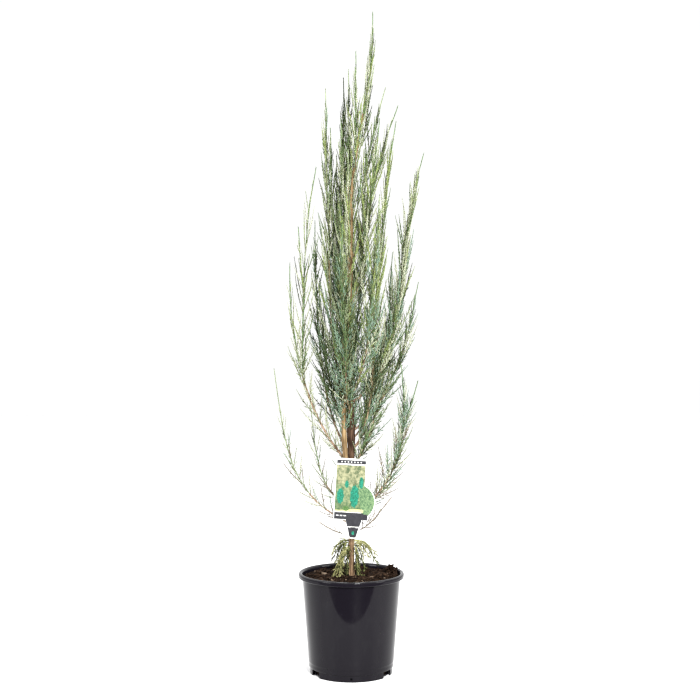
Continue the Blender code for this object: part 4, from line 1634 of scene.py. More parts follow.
    def deal_tones(self, limb: Limb, heights: Array, rng: Random) -> Array:
        """A tone for each of a limb's sprays, which are fresher and less blue high up.

        Args:
            limb: The limb.
            heights: How high each spray starts, in metres.
            rng: Deals them out.

        Returns:
            Indices into the tones.
        """
        rise = (heights - self.spread_to) / (self.upper_from - self.spread_to)
        rise = np.clip(rise, 0, 1)[:, None]
        shares = np.array(TONES[limb.habit]) * (1 - rise) + np.array(UPPER_TONES) * rise
        fresh = limb.fresh * np.clip((heights - self.fresh_from) / self.fresh_over, 0, 1)
        dusty = limb.dusty * np.clip((self.dusty_to - heights) / self.dusty_over, 0, 1)
        shares *= generator(f"{limb.name}_tones").uniform(*self.lean, len(Tone))
        blue = limb.blue * (1 - rise[:, 0])
        rest = 1 - fresh - limb.dark - limb.bleached - dusty - blue
        shares *= (rest / shares.sum(axis=1))[:, None]
        yellow, pale = self.fresh_split
        # the limb's dark share adds painted shade, and its pale share partly painted highlight
        for tone, more in (
            (Tone.DEEP, limb.dark),
            (Tone.FRESH, fresh * yellow),
            (Tone.PALE, fresh * pale + limb.bleached),
            (Tone.DUSTY, dusty),
            (Tone.GLAUCOUS, blue),
        ):
            shares[:, TONE_NUMBERS[tone]] += more
        upto = np.cumsum(shares, axis=1) / shares.sum(axis=1, keepdims=True)
        drawn = rng.random(len(shares))[:, None]
        return np.minimum((drawn > upto).sum(axis=1), len(Tone) - 1)

    def grow_shoots(
        self, limb: Limb, carriers: Strands, slim: float, bare: float, room: Room, rng: Random
    ) -> Strands:
        """Shoots up each twig or stem's end by the golden angle.

        Args:
            limb: The limb that the carriers are on.
            carriers: The twigs or the stem's end.
            slim: A shoot's length for each metre that is left to its carrier's bare tip.
            bare: The length of that tip.
            room: Where the shoots may grow.
            rng: Deals out the unevenness.

        Returns:
            The shoots.
        """
        rule = GROWTH[limb.habit]
        last = carriers.points.shape[1] - 1
        length = np.linalg.norm(np.diff(carriers.points, axis=1), axis=2).sum(axis=1)
        closeness = self.shoot_close * self.high_up(limb, carriers.points[:, 0], carriers.heights)
        counts = np.maximum(np.round(length / (rule.shoot_pitch * (1 - closeness))).astype(int), 0)
        twig, rank = dealt(counts)
        share = (rank + rng.uniform(*SHOOT.step, twig.size)) / counts[twig]
        place = np.clip(share, 0, self.shoot_last) * last
        segment = np.floor(place).astype(int)
        part = (place - segment)[:, None]
        low, high = carriers.points[twig, segment], carriers.points[twig, segment + 1]
        high_up = self.high_up(limb, low, carriers.heights[twig])
        foot, gain = self.shoot_fullness
        reach = between(rule.shoot_length, high_up)
        reach = reach * np.minimum(1, foot + gain * share) * rng.uniform(*SHOOT.length, twig.size)
        reach = np.minimum(reach, slim * ((1 - share) * length[twig] - bare))
        angle = between(rule.shoot_angle, high_up)
        angle = np.radians(angle * rng.uniform(*SHOOT.angle, twig.size))
        roll = rng.uniform(0, ANY_ROLL, len(length))[twig] + GOLDEN_ANGLE * rank
        way = turned_from(unit(high - low), angle, roll, self.upturn * self.shoot_upturn)
        start = low + (high - low) * part
        points = self.curved(start, way, reach, self.shoot_points, SHOOT, rng)
        fits = np.array([room.holds(strand[-1], strand[0]) for strand in points], dtype=bool)
        short = ~fits
        roots = points[short, :1]
        points[short] = roots + (points[short] - roots) * self.cut_back
        reach[short] *= self.cut_back
        fits[short] = [room.holds(strand[-1], strand[0]) for strand in points[short]]
        radii = np.full((twig.size, self.shoot_points), self.shoot_radius)
        radii[:, 1:] *= self.shoot_taper
        tones = carriers.tones[twig]
        chance = np.where(tones == TONE_NUMBERS[Tone.DEEP], self.stray_deep, 1.0)
        chance = self.stray * chance * (1 - self.stray_loss * high_up)
        stray = rng.random(twig.size) < chance
        tones = np.where(stray, self.deal_tones(limb, low[:, 2], rng), tones)
        leafy = np.full(twig.size, self.shoot_bare)
        strands = Strands(points, radii, tones, leafy, high_up)
        return strands.of(fits & (reach > self.least_shoot))

    def grow_whip(self, limb: Limb, stem: Path, rng: Random) -> Strands:
        """Clads the green end of a stem in leaves.

        Args:
            limb: The limb that the stem is on.
            stem: The stem.
            rng: Deals out its tone.

        Returns:
            One strand.
        """
        leafy = min(stem.length * self.whip_share, limb.leafy_end)
        leafy = max(leafy, stem.length - stem.green_from(limb.wood_to))
        s = np.linspace(stem.length - leafy, stem.length - self.whip_tip, self.whip_points)
        tone = Tone.GREEN if rng.random() < self.whip_green else Tone.SAGE
        # whips of shaded limbs take the near-black tone: painted shade
        if rng.random() < limb.dark:
            tone = Tone.DEEP
        elif limb.dusty > self.whip_dusty:
            tone = Tone.DUSTY
        radii = np.clip(stem.radius(s) * self.whip_taper, *self.whip_radius)
        number, height = np.full(1, TONE_NUMBERS[tone]), np.full(1, self.whip_height)
        return Strands(stem.at(s)[None], radii[None], number, np.zeros(1), height)

    def grow(self) -> None:
        """Grows every mass."""
        woods = [self.trunk.path]
        woods += [b.whole.part(0, b.limb.bare) for b in self.boughs if b.limb.bare]
        path, leader = self.trunk.path, self.boughs[-1].whole
        upper = path.part(path.length_at_height(TRUNK_TWIGS.foot), path.length)
        spine = Path(
            np.vstack((upper.points[:-1], leader.points)),
            np.concatenate((upper.radii[:-1], leader.radii)),
        )
        growing = [*self.boughs, Bough(TRUNK_TWIGS, spine, [], [spine])]
        for bough in growing:
            if not bough.leafy:
                continue
            limb = bough.limb
            rng = generator(limb.name)
            others = [path for other in growing if other is not bough for path in other.leafy]
            room = Room(bough.leafy, others, woods, self.label_room, self.reach)
            for stem in bough.leafy:
                twigs = self.grow_twigs(limb, stem, room, rng)
                self.twigs.append(twigs)
                self.shoots.append(self.grow_shoots(limb, twigs, *self.twig_slim, room, rng))
                end = self.grow_whip(limb, stem, rng)
                self.whips.append(end)
                self.shoots.append(self.grow_shoots(limb, end, self.end_slim, limb.tip, room, rng))

    def build(self) -> None:
        """Makes the joined pieces: leaves, shoots and twigs, a tone at a time."""
        self.grow()
        nodes = [f"mass_{bough.limb.name}" for bough in self.boughs]
        kinds = {
            "twigs": Strands.joined(self.twigs),
            "shoots": Strands.joined(self.shoots),
            "whips": Strands.joined(self.whips),
        }
        for kind, strands in kinds.items():
            log.info("%s: %d", kind, len(strands.points))
        joined("twigs", [kinds["twigs"].cores()], TWIG_BARK.make(), nodes)
        for number, tone in enumerate(Tone):
            finish = FOLIAGE[tone].make()
            rng = generator(tone.value)
            chosen = {kind: strands.of(strands.tones == number) for kind, strands in kinds.items()}
            chosen = {kind: strands for kind, strands in chosen.items() if len(strands.tones)}
            green = [strands.cores() for kind, strands in chosen.items() if kind != "twigs"]
            joined(f"shoots_{tone.value}", green, finish, nodes)
            scales = [LEAVES[kind].on(strands, rng) for kind, strands in chosen.items()]
            joined(f"leaves_{tone.value}", scales, finish, nodes)


def joined(
    name: str, groups: list[tuple[Array, Array]], finish: Material, nodes: list[str]
) -> None:
    """Joins groups of triangles into as few pieces as the limit allows.

    Args:
        name: The pieces' name, which a number follows.
        groups: Vertices and triangles of each.
        finish: The pieces' material.
        nodes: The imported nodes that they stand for.
    """
    verts, tris, base = [], [], 0
    for points, faces in groups:
        verts.append(points)
        tris.append(faces + base)
        base += len(points)
    points, faces = np.concatenate(verts), np.concatenate(tris)
    pieces = max(1, math.ceil(len(faces) / MOST_TRIANGLES))
    size = math.ceil(len(faces) / pieces / LEAF_TRIANGLES) * LEAF_TRIANGLES  # no leaf is split
    for k in range(pieces):
        part = faces[k * size:(k + 1) * size]
        used, renumbered = np.unique(part, return_inverse=True)
        label = f"{name}_{k + 1}" if pieces > 1 else name
        mesh = bpy.data.meshes.new(label)
        mesh.vertices.add(len(used))
        mesh.vertices.foreach_set("co", points[used].astype(np.float32).ravel())
        mesh.loops.add(part.size)
        mesh.loops.foreach_set("vertex_index", renumbered.astype(np.int32).ravel())
        mesh.polygons.add(len(part))
        mesh.polygons.foreach_set("loop_start", np.arange(0, part.size, 3, dtype=np.int32))
        mesh.update(calc_edges=True)
        mesh.shade_smooth()
        settle(add_object(label, mesh, finish), nodes)


# Dry sprigs


# foot, azimuth, reach and drop of each stem of a sprig
SPRIGS = {
    "dry_sprig_left": (
        (0.2515, 186, 0.026, 0.016), (0.2505, 176, 0.030, 0.026), (0.2500, 196, 0.024, 0.040),
        (0.2480, 183, 0.019, 0.062), (0.2470, 204, 0.013, 0.048),
    ),
    "dry_sprig_front_left": (
        (0.2400, 226, 0.022, 0.062), (0.2380, 205, 0.030, 0.060), (0.2420, 240, 0.012, 0.058),
        (0.2360, 216, 0.026, 0.075),
    ),
    "dry_sprig_right": (
        (0.2515, 352, 0.040, 0.027), (0.2505, 344, 0.028, 0.015), (0.2500, 358, 0.042, 0.046),
        (0.2480, 338, 0.019, 0.030), (0.2400, 330, 0.007, 0.062), (0.2380, 352, 0.010, 0.058),
    ),
    "dry_sprig_back": (
        (0.2440, 62, 0.022, 0.042), (0.2420, 84, 0.018, 0.030), (0.2400, 40, 0.026, 0.052),
        (0.2460, 112, 0.016, 0.040),
    ),
}
DRY_FINISHES = (
    FoliageFinish("dry_straw", (0.22, 0.22, 0.075), (0.46, 0.45, 0.21), 0.75),
    FoliageFinish("dry_olive", (0.085, 0.100, 0.030), (0.23, 0.255, 0.095), 0.75),
    FoliageFinish("dry_dull", (0.018, 0.020, 0.008), (0.070, 0.075, 0.030), 0.75),
)
DRY_SHARES = (0.45, 0.33, 0.22)  # of the stems that have each finish
DRY_LEAF = ScaleLeaf(pitch=0.0023, length=0.0044, width=0.0017, lift=20)


@dataclass
class DrySprigs:
    """Withered sprigs that hang round the trunk's foot and trail on the mix."""

    trunk: Trunk
    mix_top: float = 0.1842
    stem_points: int = 14
    stem_root: float = 0.8  # the share of the bark's radius at which a stem starts
    stem_bend: float = 0.7  # the share of the trunk's collar at which it starts to droop
    stem_curve: Pair = (0.8, 1.7)  # below 1 it runs out early, and above 1 it drops late
    stem_bare: float = 0.2  # the share of its foot that has no leaves
    stem_radius: Pair = (0.0010, 0.0005)  # at its root and at its tip
    stem_clear: float = 0.0012  # a trailing stem's height over the mix
    strand_points: int = 12  # of a stem when its leaves are laid on
    pitch: float = 0.0023  # between sprays
    first_spray: float = 0.005
    spray_angle: Pair = (25, 60)  # in degrees
    spray_length: float = 0.0125
    spray_uneven: Pair = (0.45, 1.15)
    spray_loss: float = 0.45  # by which sprays are shorter at a stem's tip
    spray_steps: int = 3
    spray_sag: float = 0.25  # how far sprays turn down where they start
    spray_droop: float = 0.10  # and at each of their steps
    spray_wander: float = 0.12
    spray_radius: Pair = (0.00055, 0.0003)
    spray_clear: float = 0.0007
    spray_bare: float = 0.05
    twin_share: float = 0.4  # of stems that have a second one beside them
    twin_below: float = 0.004
    twin_swing: float = 14.0  # spread of a twin's azimuth from its stem's, in degrees
    twin_loss: Pair = (0.0, 0.4)  # by which a twin reaches less far
    twin_droop: Pair = (-0.2, 0.3)  # by which it drops further
    stray: float = 0.25  # share of sprays that are not of their stem's finish

    def stem(self, foot: float, azimuth: float, reach: float, drop: float) -> Path:
        """The path of one drooping stem, which trails once it meets the mix.

        Args:
            foot: Its height on the trunk.
            azimuth: The way that it hangs, in degrees.
            reach: How far out it ends.
            drop: How far down it would end in the air.

        Returns:
            Its path, with a stem's radii.
        """
        s = self.trunk.path.length_at_height(foot)
        away = outward(azimuth)
        start = self.trunk.path.at(s) + away * self.trunk.stout * self.stem_root
        share = np.linspace(0, 1, self.stem_points)[:, None]
        bend = start + away * self.trunk.collar * self.stem_bend
        outwards, downwards = self.stem_curve
        line = bend + away * reach * share**outwards - UP * drop * share**downwards
        points = np.vstack((start, line))
        points[:, 2] = np.maximum(points[:, 2], self.mix_top + self.stem_clear)
        return Path(points, np.linspace(*self.stem_radius, len(points)))

    def sprays(self, path: Path, tone: int, rng: Random) -> Strands:
        """Side sprays on one stem.

        Args:
            path: The stem.
            tone: The number of its finish.
            rng: Deals out the unevenness.

        Returns:
            The sprays.
        """
        s = np.arange(self.first_spray, path.length, self.pitch)
        count = len(s)
        angle = np.radians(rng.uniform(*self.spray_angle, count))
        roll = rng.uniform(0, 2 * math.pi, count)
        way = turned_from(path.tangent(s), angle, roll, -self.spray_sag)
        length = self.spray_length * rng.uniform(*self.spray_uneven, count)
        length = length * (1 - self.spray_loss * s / path.length)
        points = [path.at(s)]
        for _ in range(self.spray_steps):
            points.append(points[-1] + way * (length / self.spray_steps)[:, None])
            way = unit(way + rng.normal(0, self.spray_wander, way.shape) - UP * self.spray_droop)
        strands = np.stack(points, axis=1)
        strands[..., 2] = np.maximum(strands[..., 2], self.mix_top + self.spray_clear)
        radii = np.tile(np.linspace(*self.spray_radius, len(points)), (count, 1))
        strays, others = rng.random(count) < self.stray, rng.integers(0, len(DRY_FINISHES), count)
        tones = np.where(strays, others, tone)
        return Strands(strands, radii, tones, np.full(count, self.spray_bare), np.zeros(count))

    def build(self) -> None:
        """Makes the stems and the withered leaves of all sprigs."""
        rng = generator("dry")
        stems, sprays = [], []
        for foot, azimuth, reach, drop in (stem for sprig in SPRIGS.values() for stem in sprig):
            for twin in range(1 + (rng.random() < self.twin_share)):
                path = self.stem(
                    foot - self.twin_below * twin,
                    azimuth + twin * rng.normal(0, self.twin_swing),
                    reach * (1 - twin * rng.uniform(*self.twin_loss)),
                    drop * (1 + twin * rng.uniform(*self.twin_droop)),
                )
                tone = int(rng.choice(len(DRY_FINISHES), p=DRY_SHARES))
                s = np.linspace(0, path.length, self.strand_points)
                points, radii = path.at(s)[None], path.radius(s)[None]
                bare = np.full(1, self.stem_bare)
                stems.append(Strands(points, radii, np.full(1, tone), bare, np.zeros(1)))
                sprays.append(self.sprays(path, tone, rng))
        kinds = (Strands.joined(stems), Strands.joined(sprays))
        for number, finish in enumerate(DRY_FINISHES):
            groups = []
            for kind in kinds:
                chosen = kind.of(kind.tones == number)
                if len(chosen.tones):
                    groups += [chosen.cores(), DRY_LEAF.on(chosen, rng)]
            joined(finish.name, groups, finish.make(), list(SPRIGS))


# Pot and potting mix


POT_PLASTIC = PlasticFinish("black_pot_plastic")
CREST_PLASTIC = PlasticFinish("pot_rim_crest", specular=0.6)


@dataclass
class Pot:
    """The nursery pot: a turned wall with a rolled rim and three feet under it."""

    height: float = 0.190
    rim_radius: float = 0.100
    rim_drop: float = 0.0090
    top_radius: float = 0.0930
    foot_radius: float = 0.0802
    wall: float = 0.0018
    lip: float = 0.0008  # by which the wall widens where it turns into the rim
    lip_drop: float = 0.0050  # from the rim's top to there
    skirt_height: float = 0.012
    skirt_radius: float = 0.0780
    drum_radius: float = 0.0720
    floor: float = 0.0022
    slot_azimuths: tuple[float, ...] = (90, 210, 330)
    slot_width: float = 0.0262
    slot_depth: float = 0.016
    drain: Pair = (0.017, 0.0070)
    notch: float = 0.0040
    roll: float = 0.003744  # the radius of the rim's rounded edge
    roll_steps: int = 6
    crest: float = 0.003  # the depth of the rim's polished top
    crest_level: float = 0.4  # faces of the crest face upwards by at least this
    steps: int = 168

    def profile(self) -> Outline:
        """Draws the wall's outline.

        Returns:
            Radius and height of each corner, from the floor's centre round to it.
        """
        rim, ledge, high = self.rim_radius, self.skirt_height, self.height
        inner_top = self.top_radius + self.lip - self.wall
        inside = [
            (0.0, self.floor),
            (self.drum_radius - self.wall, self.floor),
            (self.drum_radius - self.wall, ledge),
            (self.foot_radius - self.wall, ledge),
            (inner_top, high - self.lip_drop),
            (inner_top + 0.0006, high - 0.0022),
            (inner_top + 0.0019, high - 0.0008),
            (inner_top + 0.0036, high - 0.0001),
        ]
        turns = [math.radians(90 - 90 * k / self.roll_steps) for k in range(self.roll_steps + 1)]
        edge = [
            (rim - self.roll * (1 - math.cos(turn)), high - self.roll * (1 - math.sin(turn)))
            for turn in turns
        ]
        under = high - self.rim_drop
        under_rim = [
            (rim - 0.0002, under + 0.0008),
            (rim - 0.0009, under),
            (rim - self.wall - 0.0004, under),
            (rim - self.wall - 0.0002, high - 0.0062),
            (rim - self.wall - 0.0014, high - 0.0044),
            (self.top_radius + 0.0014, high - 0.0042),
            (self.top_radius + 0.0002, high - 0.0060),
        ]
        foot = [
            (self.foot_radius + 0.00045, 0.0222),
            (self.foot_radius + 0.00030, 0.0176),
            (self.foot_radius, ledge + 0.0014),
            (self.foot_radius - 0.0006, ledge + 0.0003),
            (self.foot_radius - 0.0014, ledge),
        ]
        underside = [
            (self.skirt_radius, ledge - 0.0003),
            (self.skirt_radius, 0.0006),
            (self.skirt_radius - 0.0005, 0.0),
            (self.skirt_radius - self.wall, 0.0),
            (self.skirt_radius - self.wall, ledge - self.wall),
            (self.drum_radius, ledge - self.wall),
            (self.drum_radius, 0.0005),
            (self.drum_radius - 0.0005, 0.0),
            (0.0, 0.0),
        ]
        wall = self.wall_points(high - 0.0084, 0.0228)
        return [*inside, *edge, *under_rim, *wall, *foot, *underside]

    def wall_points(self, high: float, low: float) -> Outline:
        """Draws the straight outside, with close rings at its ends for even shading.

        Args:
            high: The height of its upper end.
            low: The height of its lower end.

        Returns:
            Radius and height of each corner, from the top down.
        """
        foot = self.foot_radius + 0.00078
        middle = (high + low) / 2
        heights = (high, high - 0.0012, high - 0.006, middle, low + 0.006, low + 0.0012, low)
        return [(foot + (self.top_radius - foot) * (z - low) / (high - low), z) for z in heights]

    def add_block(
        self, bm: BMesh, azimuth: float, radius: float, height: float, size: Triple
    ) -> None:
        """Adds a cutter's box, its first side along the radius.

        Args:
            bm: Takes the box.
            azimuth: The way out to it, in degrees.
            radius: How far out its centre is.
            height: How high its centre is.
            size: Its sides.
        """
        turn = Matrix.Rotation(math.radians(azimuth), 4, "Z")
        place = turn @ Matrix.Translation((radius, 0, height)) @ Matrix.Diagonal((*size, 1))
        bmesh.ops.create_cube(bm, size=1.0, matrix=place)

    def build(self) -> None:
        """Turns the wall, cuts the feet and shades the pot smooth but for its sharp edges."""
        bm = lathed(self.profile(), self.steps)
        bmesh.ops.recalc_face_normals(bm, faces=bm.faces)
        for face in bm.faces:
            face.normal_update()
            top = face.calc_center_median().z > self.height - self.crest
            face.material_index = int(top and face.normal.z > self.crest_level)
        pot = from_bmesh("nursery_pot", bm, POT_PLASTIC.make(), CREST_PLASTIC.make())
        tool = self.cutter()
        cut = pot.modifiers.new("cut", "BOOLEAN")
        cut.operation, cut.object, cut.solver = "DIFFERENCE", tool, "EXACT"
        applied(pot)
        bpy.data.objects.remove(tool)
        soften(pot, degrees=32)
        settle(pot, ["pot"])

    def cutter(self) -> Object:
        """Makes the blocks that cut the feet, the drain holes and the notches.

        Returns:
            One object with all of them.
        """
        bm = bmesh.new()
        top = self.skirt_height - 0.0004
        blocks = (  # turn from its foot, radius, height and size
            (
                0, self.drum_radius + 0.0012 + self.slot_depth / 2, (top - 0.004) / 2,
                (self.slot_depth, self.slot_width, top + 0.004),
            ),
            (
                0, self.drum_radius - 0.001, self.floor + 0.0008 + self.drain[1] / 2,
                (0.009, *self.drain),
            ),
            (60, self.skirt_radius, self.skirt_height / 2, (0.006, self.notch, self.notch)),
        )
        for azimuth in self.slot_azimuths:
            for turn, radius, height, size in blocks:
                self.add_block(bm, azimuth + turn, radius, height, size)
        return from_bmesh("pot_cutter", bm)


@dataclass(frozen=True)
class ChipKind:
    """One tone of chips: how many, how long and some that have a place of their own."""

    name: str
    share: float
    sizes: Pair
    dark: Colour
    middle: Colour
    light: Colour
    # x, y, height over the mix, length, tilt and yaw in degrees
    placed: tuple[tuple[float, ...], ...] = ()


CHIPS = (
    ChipKind(
        "dark", 0.62, (0.002, 0.010),
        (0.0036, 0.0018, 0.0011), (0.012, 0.006, 0.0035), (0.031, 0.018, 0.011),
        (
            (0.080, 0.030, 0.007, 0.015, -62, 20), (0.076, 0.038, 0.008, 0.013, -50, 60),
            (0.070, 0.044, 0.005, 0.013, -35, 10), (0.083, 0.022, 0.005, 0.013, -40, 80),
            (0.066, 0.048, 0.003, 0.012, 20, 130), (0.074, 0.033, 0.010, 0.010, 70, 40),
            (0.085, 0.026, 0.008, 0.010, 55, 200), (0.079, 0.024, 0.007, 0.012, 30, 150),
            (0.070, 0.036, 0.007, 0.012, -20, 75), (0.082, 0.034, 0.006, 0.010, 80, 300),
        ),
    ),
    ChipKind(
        "brown", 0.30, (0.002, 0.013),
        (0.008, 0.0040, 0.0022), (0.023, 0.0125, 0.0070), (0.056, 0.034, 0.021),
        ((0.070, 0.036, 0.004, 0.011, -30, 100), (-0.060, 0.020, 0.002, 0.012, 8, 30)),
    ),
    ChipKind(
        "pale", 0.08, (0.0015, 0.009),
        (0.07, 0.048, 0.030), (0.14, 0.10, 0.070), (0.25, 0.20, 0.15),
        (
            (-0.051, 0.011, 0.0015, 0.010, 5, 10), (0.041, -0.018, 0.002, 0.008, 20, 60),
            (0.038, -0.026, 0.002, 0.006, 10, 130),
        ),
    ),
)
CRUMBS = MixFinish(
    "mix_crumbs", (0.0018, 0.0009, 0.0005), (0.0068, 0.0036, 0.0022), (0.024, 0.0135, 0.0085)
)


@dataclass
class PottingMix:
    """The bark mix that fills the pot, with chips on top."""

    pot: Pot
    top: float = 0.1840
    edge_drop: float = 0.0035
    rings: int = 34
    steps: int = 150
    roughness: float = 0.0030
    rough_between: Pair = (0.010, 0.086)  # radii from which it turns rough, then smooth
    rough_over: Pair = (0.012, 0.004)  # the width of each change
    lumps: tuple[Pair, ...] = ((70, 1.0), (170, 0.8), (420, 0.5))  # to the metre, and their weight
    chips: int = 1500
    chip_radius: float = 0.0865  # chips lie up to here
    chip_free: float = 0.02  # the share of that disc that has none, round the trunk
    wall_radius: float = 0.088  # chips that would pass here lie along the wall
    chip_width: Pair = (0.25, 0.7)  # as a share of their length
    chip_thickness: Pair = (0.12, 0.35)
    chip_crowding: float = 2.2  # above 1, most chips are short
    chip_bank: float = 0.4  # spread of their banks, in radians
    chip_tilt: float = 0.3
    uneven: float = 0.2
    placed_shape: Pair = (0.55, 0.30)  # width and thickness of placed chips
    placed_bank: float = 0.2

    def surface(self, x: float, y: float) -> float:
        """Finds the height of the mix without its chips.

        Args:
            x: A place across.
            y: A place in depth.

        Returns:
            The height there.
        """
        radius = math.hypot(x, y)
        edge = self.pot.top_radius - self.pot.wall
        (inner, outer), (rising, falling) = self.rough_between, self.rough_over
        base = self.top - self.edge_drop * max(0.0, (radius - inner) / edge) ** 2
        share = smoothstep((radius - inner) / rising) * (1 - smoothstep((radius - outer) / falling))
        place = Vector((x, y, 0.0))
        lumps = sum(weight * noise.noise(place * scale) for scale, weight in self.lumps)
        return base + self.roughness * share * lumps

    def body(self) -> BMesh:
        """Turns the closed body of mix and raises the lumps on top.

        Returns:
            A new bmesh.
        """
        pot = self.pot
        rise = pot.height - pot.lip_drop - pot.skirt_height
        slope = (pot.top_radius + pot.lip - pot.foot_radius) / rise
        low = pot.foot_radius - pot.wall - GAP
        edge = low + slope * (self.top - self.edge_drop - pot.skirt_height)
        drum = pot.drum_radius - pot.wall - GAP
        ledge, floor = pot.skirt_height + GAP, pot.floor + GAP
        outline = [(edge * k / self.rings, self.top) for k in range(self.rings + 1)]
        outline += [(low, ledge), (drum, ledge), (drum, floor), (0.0, floor)]
        bm = lathed(outline, self.steps)
        bmesh.ops.recalc_face_normals(bm, faces=bm.faces)
        for vertex in bm.verts:
            if vertex.co.z > self.top - SAME_LEVEL:
                vertex.co.z = self.surface(vertex.co.x, vertex.co.y)
        return bm

    def add_chip(
        self, bm: BMesh, centre: Triple, sides: Triple, turns: Triple, rng: Random
    ) -> None:
        """Adds one uneven chip of bark.

        Args:
            bm: Takes the chip.
            centre: Its middle.
            sides: Its length, width and thickness.
            turns: Its bank, its tilt and the way that it lies, in radians.
            rng: Deals out the unevenness.
        """
        bank, tilt, yaw = (Matrix.Rotation(turn, 4, axis) for turn, axis in zip(turns, "XYZ"))
        turn = yaw @ tilt @ bank
        place = Matrix.Translation(centre) @ turn @ Matrix.Diagonal((*sides, 1))
        for vertex in bmesh.ops.create_cube(bm, size=1.0, matrix=place)["verts"]:
            share = Vector(rng.uniform(-self.uneven, self.uneven, 3) * sides)
            vertex.co += turn.to_3x3() @ share

    def scatter(self, bm: BMesh, count: int, sizes: Pair, rng: Random) -> None:
        """Lays chips all over the mix.

        Args:
            bm: Takes the chips.
            count: How many.
            sizes: The shortest and the longest.
            rng: Deals them out.
        """
        for _ in range(count):
            radius = self.chip_radius * math.sqrt(rng.uniform(self.chip_free, 1))
            azimuth = rng.uniform(0, 2 * math.pi)
            x, y = radius * math.cos(azimuth), radius * math.sin(azimuth)
            long = between(sizes, rng.random() ** self.chip_crowding)
            wide, thick = rng.uniform(*self.chip_width), rng.uniform(*self.chip_thickness)
            sides = (long, long * wide, long * thick)
            along_wall = radius + long / 2 > self.wall_radius
            yaw = azimuth + math.pi / 2 if along_wall else rng.uniform(0, ANY_ROLL)
            centre = (x, y, self.surface(x, y) + sides[2] * rng.uniform(0.0, 0.5))
            turns = (rng.normal(0, self.chip_bank), rng.normal(0, self.chip_tilt), yaw)
            self.add_chip(bm, centre, sides, turns, rng)

    def build(self) -> None:
        """Makes the body and three tones of chips."""
        body = from_bmesh("mix_body", self.body(), CRUMBS.make())
        soften(body, degrees=50)
        settle(body, ["potting_mix"])
        width, thickness = self.placed_shape
        for kind in CHIPS:
            name = f"chips_{kind.name}"
            finish = MixFinish(name, kind.dark, kind.middle, kind.light).make()
            rng = generator(name)
            bm = bmesh.new()
            self.scatter(bm, round(self.chips * kind.share), kind.sizes, rng)
            for x, y, rise, long, tilt, yaw in kind.placed:
                sides = (long, long * width, long * thickness)
                centre = (x, y, self.surface(x, y) + rise)
                turns = (self.placed_bank, math.radians(tilt), math.radians(yaw))
                self.add_chip(bm, centre, sides, turns, rng)
            bmesh.ops.recalc_face_normals(bm, faces=bm.faces)
            settle(from_bmesh(name, bm, finish), ["potting_mix"])


# Plant label


class Ink(IntEnum):
    """The inks of the print, numbered in the order of its materials."""

    CHARCOAL = 0
    HAZE = 1
    FAR_GREEN = 2
    MEADOW = 3
    PATH = 4
    TEAL = 5
    LEAF = 6
    GREY = 7
    HEDGE = 8


INKS = {
    Ink.CHARCOAL: CardFinish("ink_charcoal", (0.016, 0.016, 0.020), (0.024, 0.024, 0.029)),
    Ink.HAZE: CardFinish("ink_haze", (0.060, 0.085, 0.036), (0.30, 0.29, 0.165), 170),
    Ink.FAR_GREEN: CardFinish("ink_far_green", (0.050, 0.100, 0.045), (0.24, 0.26, 0.13), 150),
    Ink.MEADOW: CardFinish("ink_meadow", (0.035, 0.080, 0.032), (0.15, 0.19, 0.085), 200),
    Ink.PATH: CardFinish("ink_path", (0.42, 0.41, 0.17), (0.54, 0.52, 0.26), 240),
    Ink.TEAL: CardFinish("ink_teal", (0.001, 0.085, 0.048), (0.006, 0.215, 0.130), 420),
    Ink.LEAF: CardFinish("ink_leaf", (0.030, 0.085, 0.018), (0.09, 0.17, 0.045), 420),
    Ink.GREY: CardFinish("ink_grey", (0.36, 0.36, 0.36), (0.42, 0.42, 0.41)),
    Ink.HEDGE: CardFinish("ink_hedge", (0.030, 0.085, 0.035), (0.17, 0.26, 0.120), 420),
}
CARD_WHITE = CardFinish("label_white", (0.58, 0.59, 0.55), (0.66, 0.66, 0.63))


